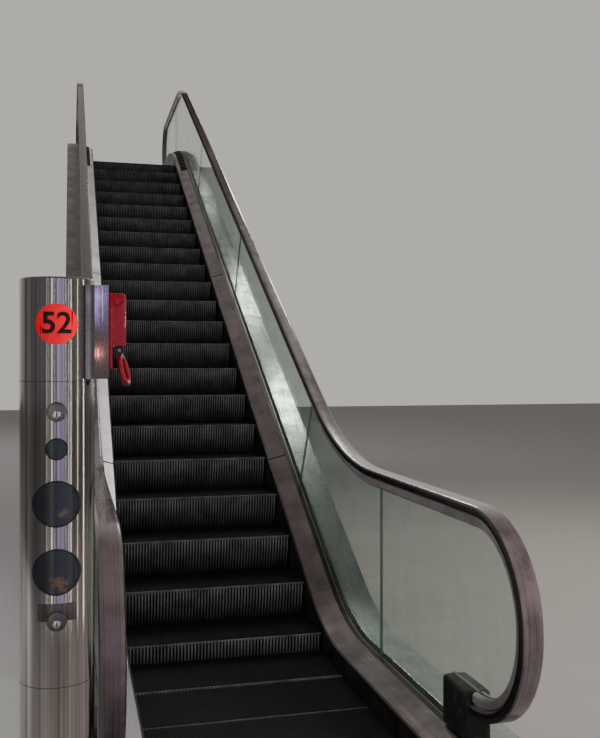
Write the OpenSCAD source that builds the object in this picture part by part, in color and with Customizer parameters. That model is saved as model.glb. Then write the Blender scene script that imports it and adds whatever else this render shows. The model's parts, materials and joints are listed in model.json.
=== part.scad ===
/* [Incline] */
// Height from the lower treads to the upper treads
rise = 4150; // [3900:10:4400]
// Slope of the straight run in degrees
incline_deg = 30; // [28:0.5:35]
// Radius of the lower bend of the step band
band_low_r = 1500; // [1000:50:2000]
// Radius of the upper bend of the step band
band_up_r = 1500; // [1000:50:2000]

/* [Steps] */
// Width of a step
step_w = 1000; // [600:10:1100]
// Pitch of the steps, which is also the radius of the riser
step_pitch = 400; // [380:5:420]
// Gap between a tread's back edge and the next riser
step_gap = 5; // [3:0.5:6]
// Depth of a riser below its nosing
riser_h = 208; // [205:1:230]
// Thickness of a riser at its foot
riser_foot = 30; // [20:1:40]
// Height of a tread's back edge
tread_edge_h = 28; // [20:1:30]
// Gap between a step and each skirt panel
skirt_gap = 4; // [2:0.5:5]
// Level run of the band before the lower bend starts
band_low_flat = 650; // [400:10:900]

/* [Landings] */
// Depth of the landing frames below the finished floor
recess_d = 60; // [50:1:80]
// Height of the finished floor above the treads at the landings
comb_rise = 8; // [4:1:12]
// Thickness of a landing frame's pan
pan_t = 10; // [6:1:14]
// Length of a comb plate
comb_l = 240; // [180:10:300]
// Length of the lower floor plate
low_plate_l = 1200; // [900:10:1500]
// Width of the floor plates
plate_w = 1380; // [1200:10:1400]
// Length of the upper floor plate
up_plate_l = 1300; // [1000:10:1600]
// Thickness of a floor plate
plate_t = 30; // [20:1:36]
// Reach of a bearing flange beyond its landing
flange_reach = 160; // [100:10:240]
// Thickness of a bearing flange
flange_t = 20; // [12:1:30]
// Thickness of the packing bar under the upper flange
packing_t = 8; // [4:1:12]
// Width of the packing bar
packing_w = 110; // [60:10:120]

/* [Balustrade base] */
// Thickness of a skirt panel
skirt_t = 8; // [4:1:12]
// Height of the deck's inner edge above the nosings, on the slope
deck_h = 32; // [25:1:60]
// Width of an inner deck
inner_deck_w = 105; // [80:1:130]
// Rise of an inner deck from its inner to its outer edge
inner_deck_fall = 36; // [20:1:50]
// Width of the glass clamp that shows beside the inner deck
clamp_w = 36; // [20:1:50]
// Width of an outer deck
outer_deck_w = 152; // [100:1:200]
// Height of the outer deck above the inner deck's inner edge
outer_deck_h = 50; // [40:1:70]
// Depth of the decks
deck_d = 20; // [12:1:30]
// Extra height of the decks at the lower landing
deck_lift_low = 60; // [20:5:120]
// Extra height of the decks at the upper landing
deck_lift_up = 190; // [100:5:220]
// Radius of the decks' lower bend
deck_low_r = 1150; // [1000:50:2000]
// Radius of the decks' upper bend
deck_up_r = 1500; // [1000:50:2000]
// Gap at the butt joints of the decks
deck_joint = 2; // [1:0.5:3]
// Width of the inner deck's strip beside a dark cover
cover_edge = 34; // [20:1:50]
// Thickness of the dark covers
cover_t = 3; // [2:0.5:6]
// Depth of the housing below the nosing line, square to the slope
truss_d = 900; // [700:10:1000]
// Thickness of the soffit and end panels
soffit_t = 12; // [6:1:20]

/* [Glass and handrail] */
// Thickness of the glass
glass_t = 12; // [8:1:14]
// Gap between neighbouring glass panels
glass_gap = 3; // [2:0.5:5]
// Height of the handrail above the nosings, on the slope
rail_h = 870; // [800:5:950]
// Extra height of the handrail at the lower landing
rail_lift_low = 130; // [60:5:160]
// Extra height of the handrail at the upper landing
rail_lift_up = 200; // [160:5:260]
// Radius of the handrail's lower bend
rail_low_r = 2000; // [1500:50:2400]
// Radius of the handrail's upper bend
rail_up_r = 1500; // [1200:50:2000]
// Width of the handrail
rail_w = 80; // [70:1:90]
// Height of the handrail
rail_d = 36; // [30:1:42]
// Radius of a newel, to the outside of the handrail
newel_r = 380; // [340:5:400]
// Reach of the lower newels beyond the comb's tip
newel_low_reach = 760; // [650:10:900]
// Reach of the upper newels beyond the comb's tip
newel_up_reach = 1170; // [900:10:1250]

/* [Signal post] */
// Height of the post above the finished floor
post_h = 1696; // [1500:10:1900]
// Diameter of the post
post_dia = 172; // [150:1:180]
// Distance of the post's centre in front of the lower newel
post_ahead = 390; // [280:5:400]
// Diameter of the two large lenses
lens_dia = 106; // [80:1:120]
// Diameter of the small lens
eye_dia = 50; // [40:1:60]
// Width of the stop switch's side box
side_box_w = 58; // [50:1:80]
// Height of the stop switch's side box
side_box_h = 218; // [180:2:240]
// Height of the side box's underside above the finished floor
side_box_up = 1462; // [1200:1:1480]
// Height of the red switch housing
stop_h = 124; // [100:2:140]
// Height of the red housing's underside above the side box's underside
stop_up = 77; // [60:1:80]
// Height of the number disc's centre above the finished floor
disc_up = 1588; // [1300:5:1620]
// Diameter of the number disc
disc_dia = 94; // [60:1:110]

/* [Hidden] */
a = incline_deg;
$fn = 96;

// Small clearances: seat between stacked pieces, play beside the glass, and overlap of cuts
seat = 0.3;
glass_play = 0.5;
cut = 50;
// Floor and outer wall of the slot that holds the glass
clamp_floor = 8;
clamp_wall = 6;
// The step nodes are numbered from the lower comb to the upper comb
n_steps = 27;

// Levels, from the underside of the bearing flange
tread_z = recess_d - comb_rise;
floor_z = recess_d;
up_tread_z = tread_z + rise;
up_floor_z = floor_z + rise;

// Length positions, from the middle of the lower bearing flange
front_y = flange_reach / 2;
comb_low_y = front_y + low_plate_l + comb_l;
band_low_y = comb_low_y + band_low_flat;
function tenth(v) = round(10 * v) / 10;
wp_y = tenth(band_low_y + band_low_r * tan(a / 2));
band_up_y = tenth(wp_y + rise / tan(a) + band_up_r * tan(a / 2));

// Lengths along the nosing line, from the start of the lower bend
band_s1 = band_low_r * a * PI / 180;
band_s2 = band_s1 + rise / sin(a) - (band_low_r + band_up_r) * tan(a / 2);
band_s3 = band_s2 + band_up_r * a * PI / 180;
comb_up_y = tenth(band_up_y + n_steps * step_pitch - band_low_flat - band_s3);
back_y = comb_up_y + comb_l + up_plate_l;

// Point of the nosing line at a length along it
function on_band(s) =
    s < 0 ? [band_low_y + s, tread_z]
    : s < band_s1 ? [band_low_y + band_low_r * sin(a * s / band_s1),
                     tread_z + band_low_r * (1 - cos(a * s / band_s1))]
    : s < band_s2 ? [band_low_y + band_low_r * sin(a) + (s - band_s1) * cos(a),
                     tread_z + band_low_r * (1 - cos(a)) + (s - band_s1) * sin(a)]
    : s < band_s3 ? [band_up_y - band_up_r * sin(a * (band_s3 - s) / (band_s3 - band_s2)),
                     up_tread_z - band_up_r * (1 - cos(a * (band_s3 - s) / (band_s3 - band_s2)))]
    : [band_up_y + s - band_s3, up_tread_z];

// Widths, from the centre line
skirt_x = step_w / 2 + skirt_gap;
deck_x = skirt_x + skirt_t + seat;
clamp_x = deck_x + inner_deck_w;
glass_x = clamp_x + clamp_w;
rail_x = glass_x + glass_t / 2;
side_x = glass_x + glass_t + outer_deck_w;

// Newel centres and the ends of the balustrade's base
newel_low_y = comb_low_y - newel_low_reach + newel_r;
newel_up_y = comb_up_y + newel_up_reach - newel_r;
base_low_y = newel_low_y - 110;
base_up_y = newel_up_y + 110;

// The two guiding lines of a balustrade. Each is a list: height above the nosings on the
// slope, extra height at the lower and at the upper landing, lower and upper bend radius
DECK = [deck_h, deck_lift_low, deck_lift_up, deck_low_r, deck_up_r];
RAIL = [rail_h, rail_lift_low, rail_lift_up, rail_low_r, rail_up_r];
BAND = [0, 0, 0, band_low_r, band_up_r];
function low_z(g) = tread_z + g[0] + g[1];
function up_z(g) = up_tread_z + g[0] + g[2];
function low_y(g) = tenth(wp_y + g[1] / tan(a) - g[3] * tan(a / 2));
function up_y(g) = tenth(wp_y + (rise + g[2]) / tan(a) + g[4] * tan(a / 2));

// Points of a guiding line moved t square to itself, from y0 on the lower to y1 on the upper level
bend_n = 24;
function line_points(g, t, y0, y1) = concat(
    [[y0, low_z(g) + t]],
    [for (i = [0:bend_n]) [low_y(g) + (g[3] - t) * sin(a * i / bend_n),
                           low_z(g) + g[3] - (g[3] - t) * cos(a * i / bend_n)]],
    [for (i = [bend_n:-1:0]) [up_y(g) - (g[4] + t) * sin(a * i / bend_n),
                              up_z(g) - g[4] + (g[4] + t) * cos(a * i / bend_n)]],
    [[y1, up_z(g) + t]]);
function backwards(p) = [for (i = [len(p) - 1:-1:0]) p[i]];

// A plate that stands lengthwise: outline in y and z, from x0 to x1
module plate(x0, x1) {
    translate([x0, 0, 0])
        rotate([90, 0, 90])
            linear_extrude(x1 - x0)
                children();
}

// A level bar of the profile in x and t, from y0 to y1 at height z
module level_bar(profile, y0, y1, z) {
    translate([0, y1, z])
        rotate([90, 0, 0])
            linear_extrude(y1 - y0)
                polygon(profile);
}

// An arc of the profile about an axis along x. side is 1 where the centre is above the line
module bend_bar(profile, y, z, r, side, from_deg, turn_deg) {
    translate([0, y, z])
        rotate([90, 0, 90])
            rotate([0, 0, from_deg])
                rotate_extrude(angle = turn_deg)
                    polygon([for (p = profile) [r - side * p[1], p[0]]]);
}

// The profile carried along a guiding line, from y0 on the lower to y1 on the upper level. The
// sloping piece has a profile of its own and stands off the bends by a gap, or laps into them
module run(profile, g, y0, y1, slope_profile, gap) {
    start_y = low_y(g) + g[3] * sin(a);
    start_z = low_z(g) + g[3] * (1 - cos(a));
    slope_l = (up_y(g) - g[4] * sin(a) - start_y) / cos(a);
    level_bar(profile, y0, low_y(g), low_z(g));
    bend_bar(profile, low_y(g), low_z(g) + g[3], g[3], 1, -90, a);
    translate([0, start_y, start_z])
        rotate([a, 0, 0])
            level_bar(slope_profile, gap, slope_l - gap, 0);
    bend_bar(profile, up_y(g), up_z(g) - g[4], g[4], -1, 90, a);
    level_bar(profile, up_y(g), y1, up_z(g));
}

// Slots square to the slope, at lengths from the lower working point, from t0 to t1 off the decks
module joint_slots(places, gap, x0, x1, t0, t1) {
    for (y = places)
        translate([x0, wp_y + y, tread_z + deck_h + y * tan(a)])
            rotate([a, 0, 0])
                translate([0, -gap / 2, t0])
                    cube([x1 - x0, gap, t1 - t0]);
}

// Butt joints of the decks and of the glass, from the lower working point
deck_joints = [1460, 3990];
cover_joint = 6700;
glass_joints = [1210, 3590, 5970];
glass_low_joint = wp_y - 360;
glass_up_joint = comb_up_y - 420;

module both_sides() {
    children();
    mirror([1, 0, 0])
        children();
}

// Step with a level tread and a riser rounded about its own back edge
module step(number) {
    p = on_band(step_pitch * (number - 1) - band_low_flat);
    arc_n = 8;
    foot_y = step_pitch - sqrt(pow(step_pitch, 2) - pow(riser_h, 2));
    depth = step_pitch - step_gap;
    outline = concat(
        [for (i = [0:arc_n]) [step_pitch - sqrt(pow(step_pitch, 2) - pow(riser_h * i / arc_n, 2)),
                              -riser_h * i / arc_n]],
        [[foot_y + riser_foot, -riser_h], [depth, -tread_edge_h], [depth, 0]]);
    color("#2b2a29")
        intersection() {
            translate([0, p[0], p[1]])
                plate(-step_w / 2, step_w / 2)
                    polygon(outline);
            translate([-step_w, 0, pan_t + seat])
                cube([2 * step_w, back_y, up_floor_z]);
        }
}

// Rails under the feet of the risers
track_w = 60;
track_d = 30;
foot_back = step_pitch - sqrt(pow(step_pitch, 2) - pow(riser_h, 2)) + riser_foot;
module step_tracks() {
    top = [for (p = line_points(BAND, 0, comb_low_y, comb_up_y - 200))
        [p[0] + foot_back, p[1] - riser_h - seat]];
    low = [for (p = line_points(BAND, -track_d, comb_low_y, comb_up_y - 200))
        [p[0] + foot_back, p[1] - riser_h - seat]];
    color("#55585a")
        both_sides()
            intersection() {
                plate(step_w / 2 - track_w, deck_x - seat)
                    polygon(concat(top, backwards(low)));
                translate([0, 0, pan_t + seat])
                    cube([side_x, back_y, up_floor_z]);
            }
}

// Outline of the housed truss below the decks. t moves the underside outwards
function under_y(t) = wp_y + ((truss_d + t) / cos(a) - tread_z) / tan(a);
function knee_y(t) = wp_y + (rise - truss_d - t + (truss_d + t) / cos(a)) / tan(a);
up_under_z = up_tread_z - truss_d;

module side_housing() {
    pan_top = pan_t + seat;
    outline = concat(
        line_points(DECK, -deck_d - seat, base_low_y, base_up_y),
        [[base_up_y, rise - seat], [back_y, rise - seat], [back_y, up_under_z],
         [knee_y(0), up_under_z], [under_y(0) + pan_top / tan(a), pan_top], [base_low_y, pan_top]]);
    color("#8f9190")
        plate(deck_x, side_x)
            polygon(outline);
}
module side_housing_right() { side_housing(); }
module side_housing_left() { mirror([1, 0, 0]) side_housing(); }

module soffit_panel() {
    t0 = seat;
    t1 = seat + soffit_t;
    color("#7f8180")
        plate(-side_x, side_x)
            polygon([[under_y(t0), 0], [knee_y(t0), up_under_z - t0], [back_y, up_under_z - t0],
                     [back_y, up_under_z - t1], [knee_y(t1), up_under_z - t1], [under_y(t1), 0]]);
}

module upper_end_panel() {
    color("#7f8180")
        translate([-side_x, back_y + seat, up_under_z - seat - soffit_t])
            cube([2 * side_x, soffit_t, truss_d - tread_z + soffit_t]);
}

// Bars that carry a floor plate and a comb plate, between two lengths
module bearers(y0, y1, z) {
    bar_w = 40;
    gap_h = recess_d - plate_t - pan_t - seat;
    for (y = [y0, (y0 + y1 - bar_w) / 2, y1 - bar_w])
        translate([-skirt_x + 20, y, z + pan_t])
            cube([2 * skirt_x - 40, bar_w, gap_h]);
}

module lower_landing_frame() {
    color("#6d7073")
        union() {
            translate([-plate_w / 2, -front_y, 0])
                cube([plate_w, flange_reach + 1, flange_t]);
            translate([-plate_w / 2, front_y - pan_t, 0])
                cube([plate_w, pan_t, floor_z]);
            translate([-plate_w / 2, front_y, 0])
                cube([plate_w, base_low_y - front_y, pan_t]);
            translate([-side_x, base_low_y, 0])
                cube([2 * side_x, under_y(0) - base_low_y, pan_t]);
            translate([post_x - shoe_w / 2, post_y - shoe_w / 2, 0])
                cube([-plate_w / 2 - post_x + shoe_w / 2 + 1, shoe_w, pan_t]);
            bearers(front_y + 20, comb_low_y - 20, 0);
        }
}

module upper_landing_frame() {
    color("#6d7073")
        union() {
            translate([-plate_w / 2, back_y - 1, rise])
                cube([plate_w, flange_reach + 1, flange_t]);
            translate([-plate_w / 2, back_y + flange_reach - packing_w, rise - packing_t])
                cube([plate_w, packing_w, packing_t + 1]);
            translate([-plate_w / 2, back_y, rise])
                cube([plate_w, pan_t, floor_z]);
            translate([-plate_w / 2, base_up_y + seat, rise])
                cube([plate_w, back_y - base_up_y - seat, pan_t]);
            translate([-skirt_x, comb_up_y + 5, rise])
                cube([2 * skirt_x, base_up_y - comb_up_y, pan_t]);
            bearers(comb_up_y + 20, back_y - 20, rise);
        }
}

// Cover of a landing, wide in front of the newels and narrow between them
module floor_plate(y_out, y_neck, y_comb, z) {
    translate([-plate_w / 2, min(y_out, y_neck), z - plate_t])
        cube([plate_w, abs(y_neck - y_out), plate_t]);
    translate([-skirt_x + 1, min(y_out, y_comb), z - plate_t])
        cube([2 * skirt_x - 2, abs(y_comb - y_out), plate_t]);
}

module lower_floor_plate() {
    color("#8d8f8e")
        floor_plate(front_y + seat, base_low_y - seat, comb_low_y - comb_l - seat, floor_z);
}

module upper_floor_plate() {
    color("#8d8f8e")
        floor_plate(back_y - seat, base_up_y + seat, comb_up_y + comb_l + seat, up_floor_z);
}

// Comb plate that slopes down to a thin edge over the treads. Its tip points along +y
module comb_plate() {
    reach = 12;
    slope_l = 70;
    plate(-skirt_x + 1, skirt_x - 1)
        polygon([[-comb_l, comb_rise], [-slope_l, comb_rise], [reach, seat + 2], [reach, seat],
                 [-4, seat], [-4, comb_rise - plate_t], [-comb_l, comb_rise - plate_t]]);
}

module comb_plates() {
    color("#b5b7b6") {
        translate([0, comb_low_y, tread_z])
            comb_plate();
        translate([0, comb_up_y, up_tread_z])
            mirror([0, 1, 0])
                comb_plate();
    }
}

module skirt() {
    depth = (foot_back * tan(a) + riser_h + deck_h - seat) * cos(a) - seat;
    color("#1d1c1c")
        intersection() {
            plate(skirt_x, skirt_x + skirt_t)
                polygon(concat(line_points(DECK, -2, base_low_y, base_up_y),
                               backwards(line_points(DECK, -depth, base_low_y, base_up_y))));
            translate([0, 0, pan_t + seat])
                cube([side_x, back_y, up_floor_z + 1000]);
        }
}
module skirt_right() { skirt(); }
module skirt_left() { mirror([1, 0, 0]) skirt(); }

// Folded inner deck that rises towards the glass
inner_deck_profile = [[deck_x, 0], [clamp_x, inner_deck_fall], [clamp_x, -deck_d], [deck_x, -deck_d]];
module inner_deck() {
    color("#8c8680")
        difference() {
            run(inner_deck_profile, DECK, base_low_y, base_up_y, inner_deck_profile, deck_joint);
            joint_slots(deck_joints, deck_joint, deck_x - cut, clamp_x + cut, -cut, 2 * cut);
        }
}
module inner_deck_right() { inner_deck(); }
module inner_deck_left() { mirror([1, 0, 0]) inner_deck(); }

// Dark covers laid on the outer part of the inner decks, from the slope into the upper bend
cover_turn = 17;
module upper_deck_covers() {
    edge_t = inner_deck_fall * cover_edge / inner_deck_w + seat;
    profile = [[deck_x + cover_edge, edge_t], [clamp_x, inner_deck_fall + seat],
               [clamp_x, inner_deck_fall + seat + cover_t], [deck_x + cover_edge, edge_t + cover_t]];
    slope_end = (up_y(DECK) - deck_up_r * sin(a) - wp_y) / cos(a);
    color("#171615")
        both_sides() {
            translate([0, wp_y, tread_z + deck_h])
                rotate([a, 0, 0])
                    level_bar(profile, cover_joint / cos(a), slope_end - deck_joint, 0);
            bend_bar(profile, up_y(DECK), up_z(DECK) - deck_up_r, deck_up_r, -1,
                     90 + a - cover_turn, cover_turn);
        }
}

// Outer deck whose edge laps the clamp on the glass's far side
glass_far_x = glass_x + glass_t + glass_play;
outer_deck_profile = [[glass_far_x, outer_deck_h], [side_x, outer_deck_h], [side_x, -deck_d],
                      [glass_far_x + clamp_wall + seat, -deck_d],
                      [glass_far_x + clamp_wall + seat, inner_deck_fall + seat],
                      [glass_far_x, inner_deck_fall + seat]];
module outer_deck() {
    color("#a3a5a4")
        difference() {
            run(outer_deck_profile, DECK, base_low_y, base_up_y, outer_deck_profile, deck_joint);
            joint_slots(deck_joints, deck_joint, glass_x, side_x + cut, -cut, 2 * cut);
        }
}
module outer_deck_right() { outer_deck(); }
module outer_deck_left() { mirror([1, 0, 0]) outer_deck(); }

// Clamp profiles that hold the glass in a slot
clamp_profile = [[clamp_x + seat, -deck_d], [clamp_x + seat, inner_deck_fall],
                 [glass_x - glass_play, inner_deck_fall],
                 [glass_x - glass_play, clamp_floor - deck_d],
                 [glass_far_x, clamp_floor - deck_d], [glass_far_x, inner_deck_fall],
                 [glass_far_x + clamp_wall, inner_deck_fall], [glass_far_x + clamp_wall, -deck_d]];
module glass_clamps() {
    color("#5a5653")
        both_sides()
            run(clamp_profile, DECK, base_low_y, base_up_y, clamp_profile, deck_joint);
}

// A profile carried round both newels, with its level ends reaching into the inlets
module rail_loop(profile, slope_profile, gap) {
    end_l = inlet_gap - seat;
    run(profile, RAIL, newel_low_y, newel_up_y, slope_profile, gap);
    bend_bar(profile, newel_low_y, low_z(RAIL) - newel_r, newel_r, -1, 90, 180);
    bend_bar(profile, newel_up_y, up_z(RAIL) - newel_r, newel_r, -1, -90, 180);
    translate([0, newel_low_y, low_z(RAIL) - 2 * newel_r])
        rotate([180, 0, 0])
            level_bar(profile, -end_l, 0, 0);
    translate([0, newel_up_y, up_z(RAIL) - 2 * newel_r])
        rotate([180, 0, 0])
            level_bar(profile, 0, end_l, 0);
}

// Handrail: a rubber C that grips the guide's head
function mirrored(p) = concat(p, [for (q = backwards(p)) [-q[0], q[1]]]);
function placed(p) = [for (q = p) [q[0] + rail_x, q[1]]];
function corner(x, t, r, from) = [for (i = [0:6]) [x + r * cos(from - 15 * i), t + r * sin(from - 15 * i)]];
rail_wall = 10;
lip_d = 8;
rail_slot = 22;
top_r = 14;
lip_r = 8;
// The whole C, thinned all round by e. The slope's piece laps into the bends a hair thinner
function rail_c(e) = placed(mirrored(concat(
    corner(rail_w / 2 - top_r, -top_r, top_r - e, 90),
    corner(rail_w / 2 - lip_r, -rail_d + lip_r, lip_r - e, 0),
    [[rail_slot + e, -rail_d + e], [rail_slot + e, -rail_d + lip_d - e],
     [rail_w / 2 - rail_wall + e, -rail_d + lip_d - e],
     [rail_w / 2 - rail_wall + e, -rail_wall + e]])));
module handrail() {
    color("#3b3534")
        rail_loop(rail_c(0), rail_c(0.05), -1);
}
module handrail_right() { handrail(); }
module handrail_left() { mirror([1, 0, 0]) handrail(); }

// Guide: a head inside the handrail, a neck in its slot and a body that grips the glass
head_w = rail_w / 2 - rail_wall - seat;
head_d = 8;
body_w = 26;
body_top = -rail_d - 4;
body_end = body_top - 40;
glass_seat = body_end + 24;
guide_profile = placed(mirrored([
    [head_w, -rail_d + lip_d + seat + head_d], [head_w, -rail_d + lip_d + seat],
    [rail_slot - glass_play, -rail_d + lip_d + seat], [rail_slot - glass_play, body_top],
    [body_w - 4, body_top], [body_w, body_top - 6], [body_w, body_end + 8],
    [body_w - 8, body_end], [glass_t / 2 + glass_play, body_end],
    [glass_t / 2 + glass_play, glass_seat + seat]]));
module handrail_guide() {
    color("#a9a29c")
        rail_loop(guide_profile, guide_profile, deck_joint / 2);
}
module handrail_guide_right() { handrail_guide(); }
module handrail_guide_left() { mirror([1, 0, 0]) handrail_guide(); }

// Inlets where the handrail leaves the newel for its return run
inlet_w = rail_w + 20;
inlet_gap = 20;
inlet_depth = 220;
module inlet(y, z_rail, z_deck) {
    base_z = z_deck + outer_deck_h + seat;
    translate([rail_x - inlet_w / 2, y, base_z])
        cube([inlet_w, inlet_depth, z_rail - body_end + seat - base_z]);
}
module handrail_inlets() {
    color("#191817")
        both_sides() {
            inlet(newel_low_y + inlet_gap, low_z(RAIL) - 2 * newel_r, low_z(DECK));
            inlet(newel_up_y - inlet_gap - inlet_depth, up_z(RAIL) - 2 * newel_r, up_z(DECK));
        }
}

// Glass between the clamps and the guides, round at a newel and ending above its inlet
glass_reach = inlet_gap + inlet_depth + 2 * seat;
glass_lap = 20;
module newel_glass() {
    r = newel_r + glass_seat;
    inlet_top = 3 * seat - newel_r - body_end;
    plate(glass_x, glass_x + glass_t) {
        difference() {
            circle(r);
            translate([inlet_gap - 2 * seat, -r - cut])
                square([r, inlet_top + r + cut]);
        }
        translate([0, inlet_top])
            square([glass_reach + glass_lap, r - inlet_top]);
    }
}
module glass() {
    y0 = newel_low_y + glass_reach;
    y1 = newel_up_y - glass_reach;
    color("#a8c4bd", 0.45)
        difference() {
            union() {
                plate(glass_x, glass_x + glass_t)
                    polygon(concat(
                        line_points(RAIL, glass_seat, y0, y1),
                        backwards(line_points(DECK, clamp_floor - deck_d + seat, y0, y1))));
                translate([0, newel_low_y, low_z(RAIL) - newel_r])
                    newel_glass();
                translate([0, newel_up_y, up_z(RAIL) - newel_r])
                    mirror([0, 1, 0])
                        newel_glass();
            }
            joint_slots(glass_joints, glass_gap, glass_x - cut, glass_x + cut, -cut, rail_h + cut);
            for (y = [glass_low_joint, glass_up_joint])
                translate([glass_x - cut, y, 0])
                    cube([2 * cut, glass_gap, up_z(RAIL)]);
        }
}
module glass_right() { glass(); }
module glass_left() { mirror([1, 0, 0]) glass(); }

// Signal post in line with the left balustrade
shoe_w = 280;
foot_dia = 250;
foot_t = 14;
post_x = -side_x + 12;
post_y = comb_low_y - newel_low_reach - post_ahead;
lens_pocket = 14;
eye_z = floor_z + 1303;
lens_z = [floor_z + 1178, floor_z + 1023];
lock_z = [floor_z + 1388, floor_z + 912];
seam_z = [floor_z + 1457, floor_z + 760];
disc_z = floor_z + disc_up;

// Round piece laid on or in the post's front, between two radii from its axis
module on_post(z, dia, r0, r1) {
    translate([post_x, post_y, z])
        intersection() {
            rotate([90, 0, 0])
                cylinder(h = post_dia, d = dia);
            difference() {
                translate([0, 0, -dia])
                    cylinder(h = 2 * dia, r = r1);
                translate([0, 0, -dia - 1])
                    cylinder(h = 2 * dia + 2, r = r0);
            }
        }
}

module post_foot() {
    color("#77797a")
        translate([post_x, post_y, pan_t + seat])
            cylinder(h = foot_t, d = foot_dia);
}

module signal_post() {
    foot_top = pan_t + foot_t + 2 * seat;
    wall_r = post_dia / 2;
    color("#8b8886")
        difference() {
            translate([post_x, post_y, foot_top])
                cylinder(h = floor_z + post_h - foot_top, d = post_dia);
            for (z = lens_z)
                on_post(z, lens_dia, wall_r - lens_pocket, wall_r + 1);
            on_post(eye_z, eye_dia, wall_r - lens_pocket, wall_r + 1);
            for (z = seam_z)
                translate([post_x, post_y, z])
                    difference() {
                        cylinder(h = 1.5, r = wall_r + 1);
                        translate([0, 0, -1])
                            cylinder(h = 4, r = wall_r - 1.5);
                    }
        }
}

module signal_lenses() {
    r = post_dia / 2;
    color("#20262c") {
        for (z = lens_z)
            on_post(z, lens_dia - 2 * seat, r - lens_pocket + seat, r - 3);
        on_post(eye_z, eye_dia - 2 * seat, r - lens_pocket + seat, r - 3);
    }
}

module key_switches() {
    lock_dia = 40;
    lock_reach = 9;
    color("#a4a2a0")
        for (z = lock_z)
            on_post(z, lock_dia, post_dia / 2 + seat, post_dia / 2 + lock_reach);
}

module number_disc() {
    color("#d3291f")
        on_post(disc_z, disc_dia, post_dia / 2 + seat, post_dia / 2 + 1.8);
}

// Stop switch on the post's right, facing the treads
box_x0 = post_x + 64;
box_x1 = box_x0 + side_box_w - 5;
box_z0 = floor_z + side_box_up;
box_y0 = post_y - 65;
box_depth = 110;
stop_y = post_y - 14;
stop_w = 74;
stop_z0 = box_z0 + stop_up;
stop_x0 = box_x1 + seat;
stop_plate_t = 9;
stop_plate_h = stop_h + 53;
stop_deep = 31;
pin_dia = 8;
pin_x = stop_x0 + stop_plate_t + 16;
pin_z = stop_z0 - 10;
loop_tilt = 14;

module stop_side_box() {
    color("#9a9898")
        difference() {
            translate([box_x0, box_y0, box_z0])
                cube([box_x1 - box_x0, box_depth, side_box_h]);
            translate([post_x, post_y, box_z0 - 1])
                cylinder(h = side_box_h + 2, r = post_dia / 2 + seat);
        }
}

module stop_box() {
    ear_t = 10;
    ear_in = 12;
    ear_r = 6;
    color("#c21a28")
        union() {
            translate([stop_x0, stop_y - stop_w / 2, stop_z0 + stop_h - stop_plate_h])
                cube([stop_plate_t, stop_w, stop_plate_h]);
            translate([stop_x0 + stop_plate_t - 1, stop_y - stop_w / 2 + 3, stop_z0])
                cube([stop_deep + 1, stop_w - 6, stop_h]);
            // Ears that carry the loop's pin
            for (y = [stop_y - ear_in - ear_t, stop_y + ear_in])
                difference() {
                    translate([pin_x - ear_r, y, pin_z - ear_r])
                        cube([2 * ear_r, ear_t, stop_z0 - pin_z + ear_r + 1]);
                    translate([pin_x, y - 1, pin_z])
                        rotate([-90, 0, 0])
                            cylinder(h = ear_t + 2, d = pin_dia + 0.1);
                }
        }
}

// Red loop that hangs from its pin, leaning away from the box
module stop_handle() {
    loop_dia = 80;
    bar = 13;
    pin_l = 46;
    hub_w = 20;
    hub_h = 16;
    color("#c8202c")
        translate([pin_x, stop_y, pin_z])
            rotate([0, -loop_tilt, 0]) {
                translate([0, -pin_l / 2, 0])
                    rotate([-90, 0, 0])
                        cylinder(h = pin_l, d = pin_dia);
                translate([-hub_w / 4, -hub_w / 2, 4 - hub_h])
                    cube([hub_w / 2, hub_w, hub_h]);
                translate([-bar / 2, 0, 8 - hub_h - loop_dia / 2])
                    rotate([90, 0, 90])
                        linear_extrude(bar)
                            difference() {
                                circle(d = loop_dia);
                                circle(d = loop_dia - 2 * bar);
                            }
            }
}

lower_landing_frame();
upper_landing_frame();
lower_floor_plate();
upper_floor_plate();
comb_plates();
side_housing_left();
side_housing_right();
soffit_panel();
upper_end_panel();
skirt_left();
skirt_right();
inner_deck_left();
inner_deck_right();
outer_deck_left();
outer_deck_right();
glass_clamps();
glass_left();
glass_right();
handrail_guide_left();
handrail_guide_right();
handrail_left();
handrail_right();
handrail_inlets();
upper_deck_covers();
step_tracks();
signal_post();
post_foot();
signal_lenses();
key_switches();
number_disc();
stop_side_box();
stop_box();
stop_handle();
step(1);  // step_01
step(2);  // step_02
step(3);  // step_03
step(4);  // step_04
step(5);  // step_05
step(6);  // step_06
step(7);  // step_07
step(8);  // step_08
step(9);  // step_09
step(10);  // step_10
step(11);  // step_11
step(12);  // step_12
step(13);  // step_13
step(14);  // step_14
step(15);  // step_15
step(16);  // step_16
step(17);  // step_17
step(18);  // step_18
step(19);  // step_19
step(20);  // step_20
step(21);  // step_21
step(22);  // step_22
step(23);  // step_23
step(24);  // step_24
step(25);  // step_25
step(26);  // step_26
step(27);  // step_27
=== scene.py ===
"""An escalator between two floors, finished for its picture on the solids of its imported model."""

import json
import math

import bmesh
import bpy
from mathutils import Matrix, Vector


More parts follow.
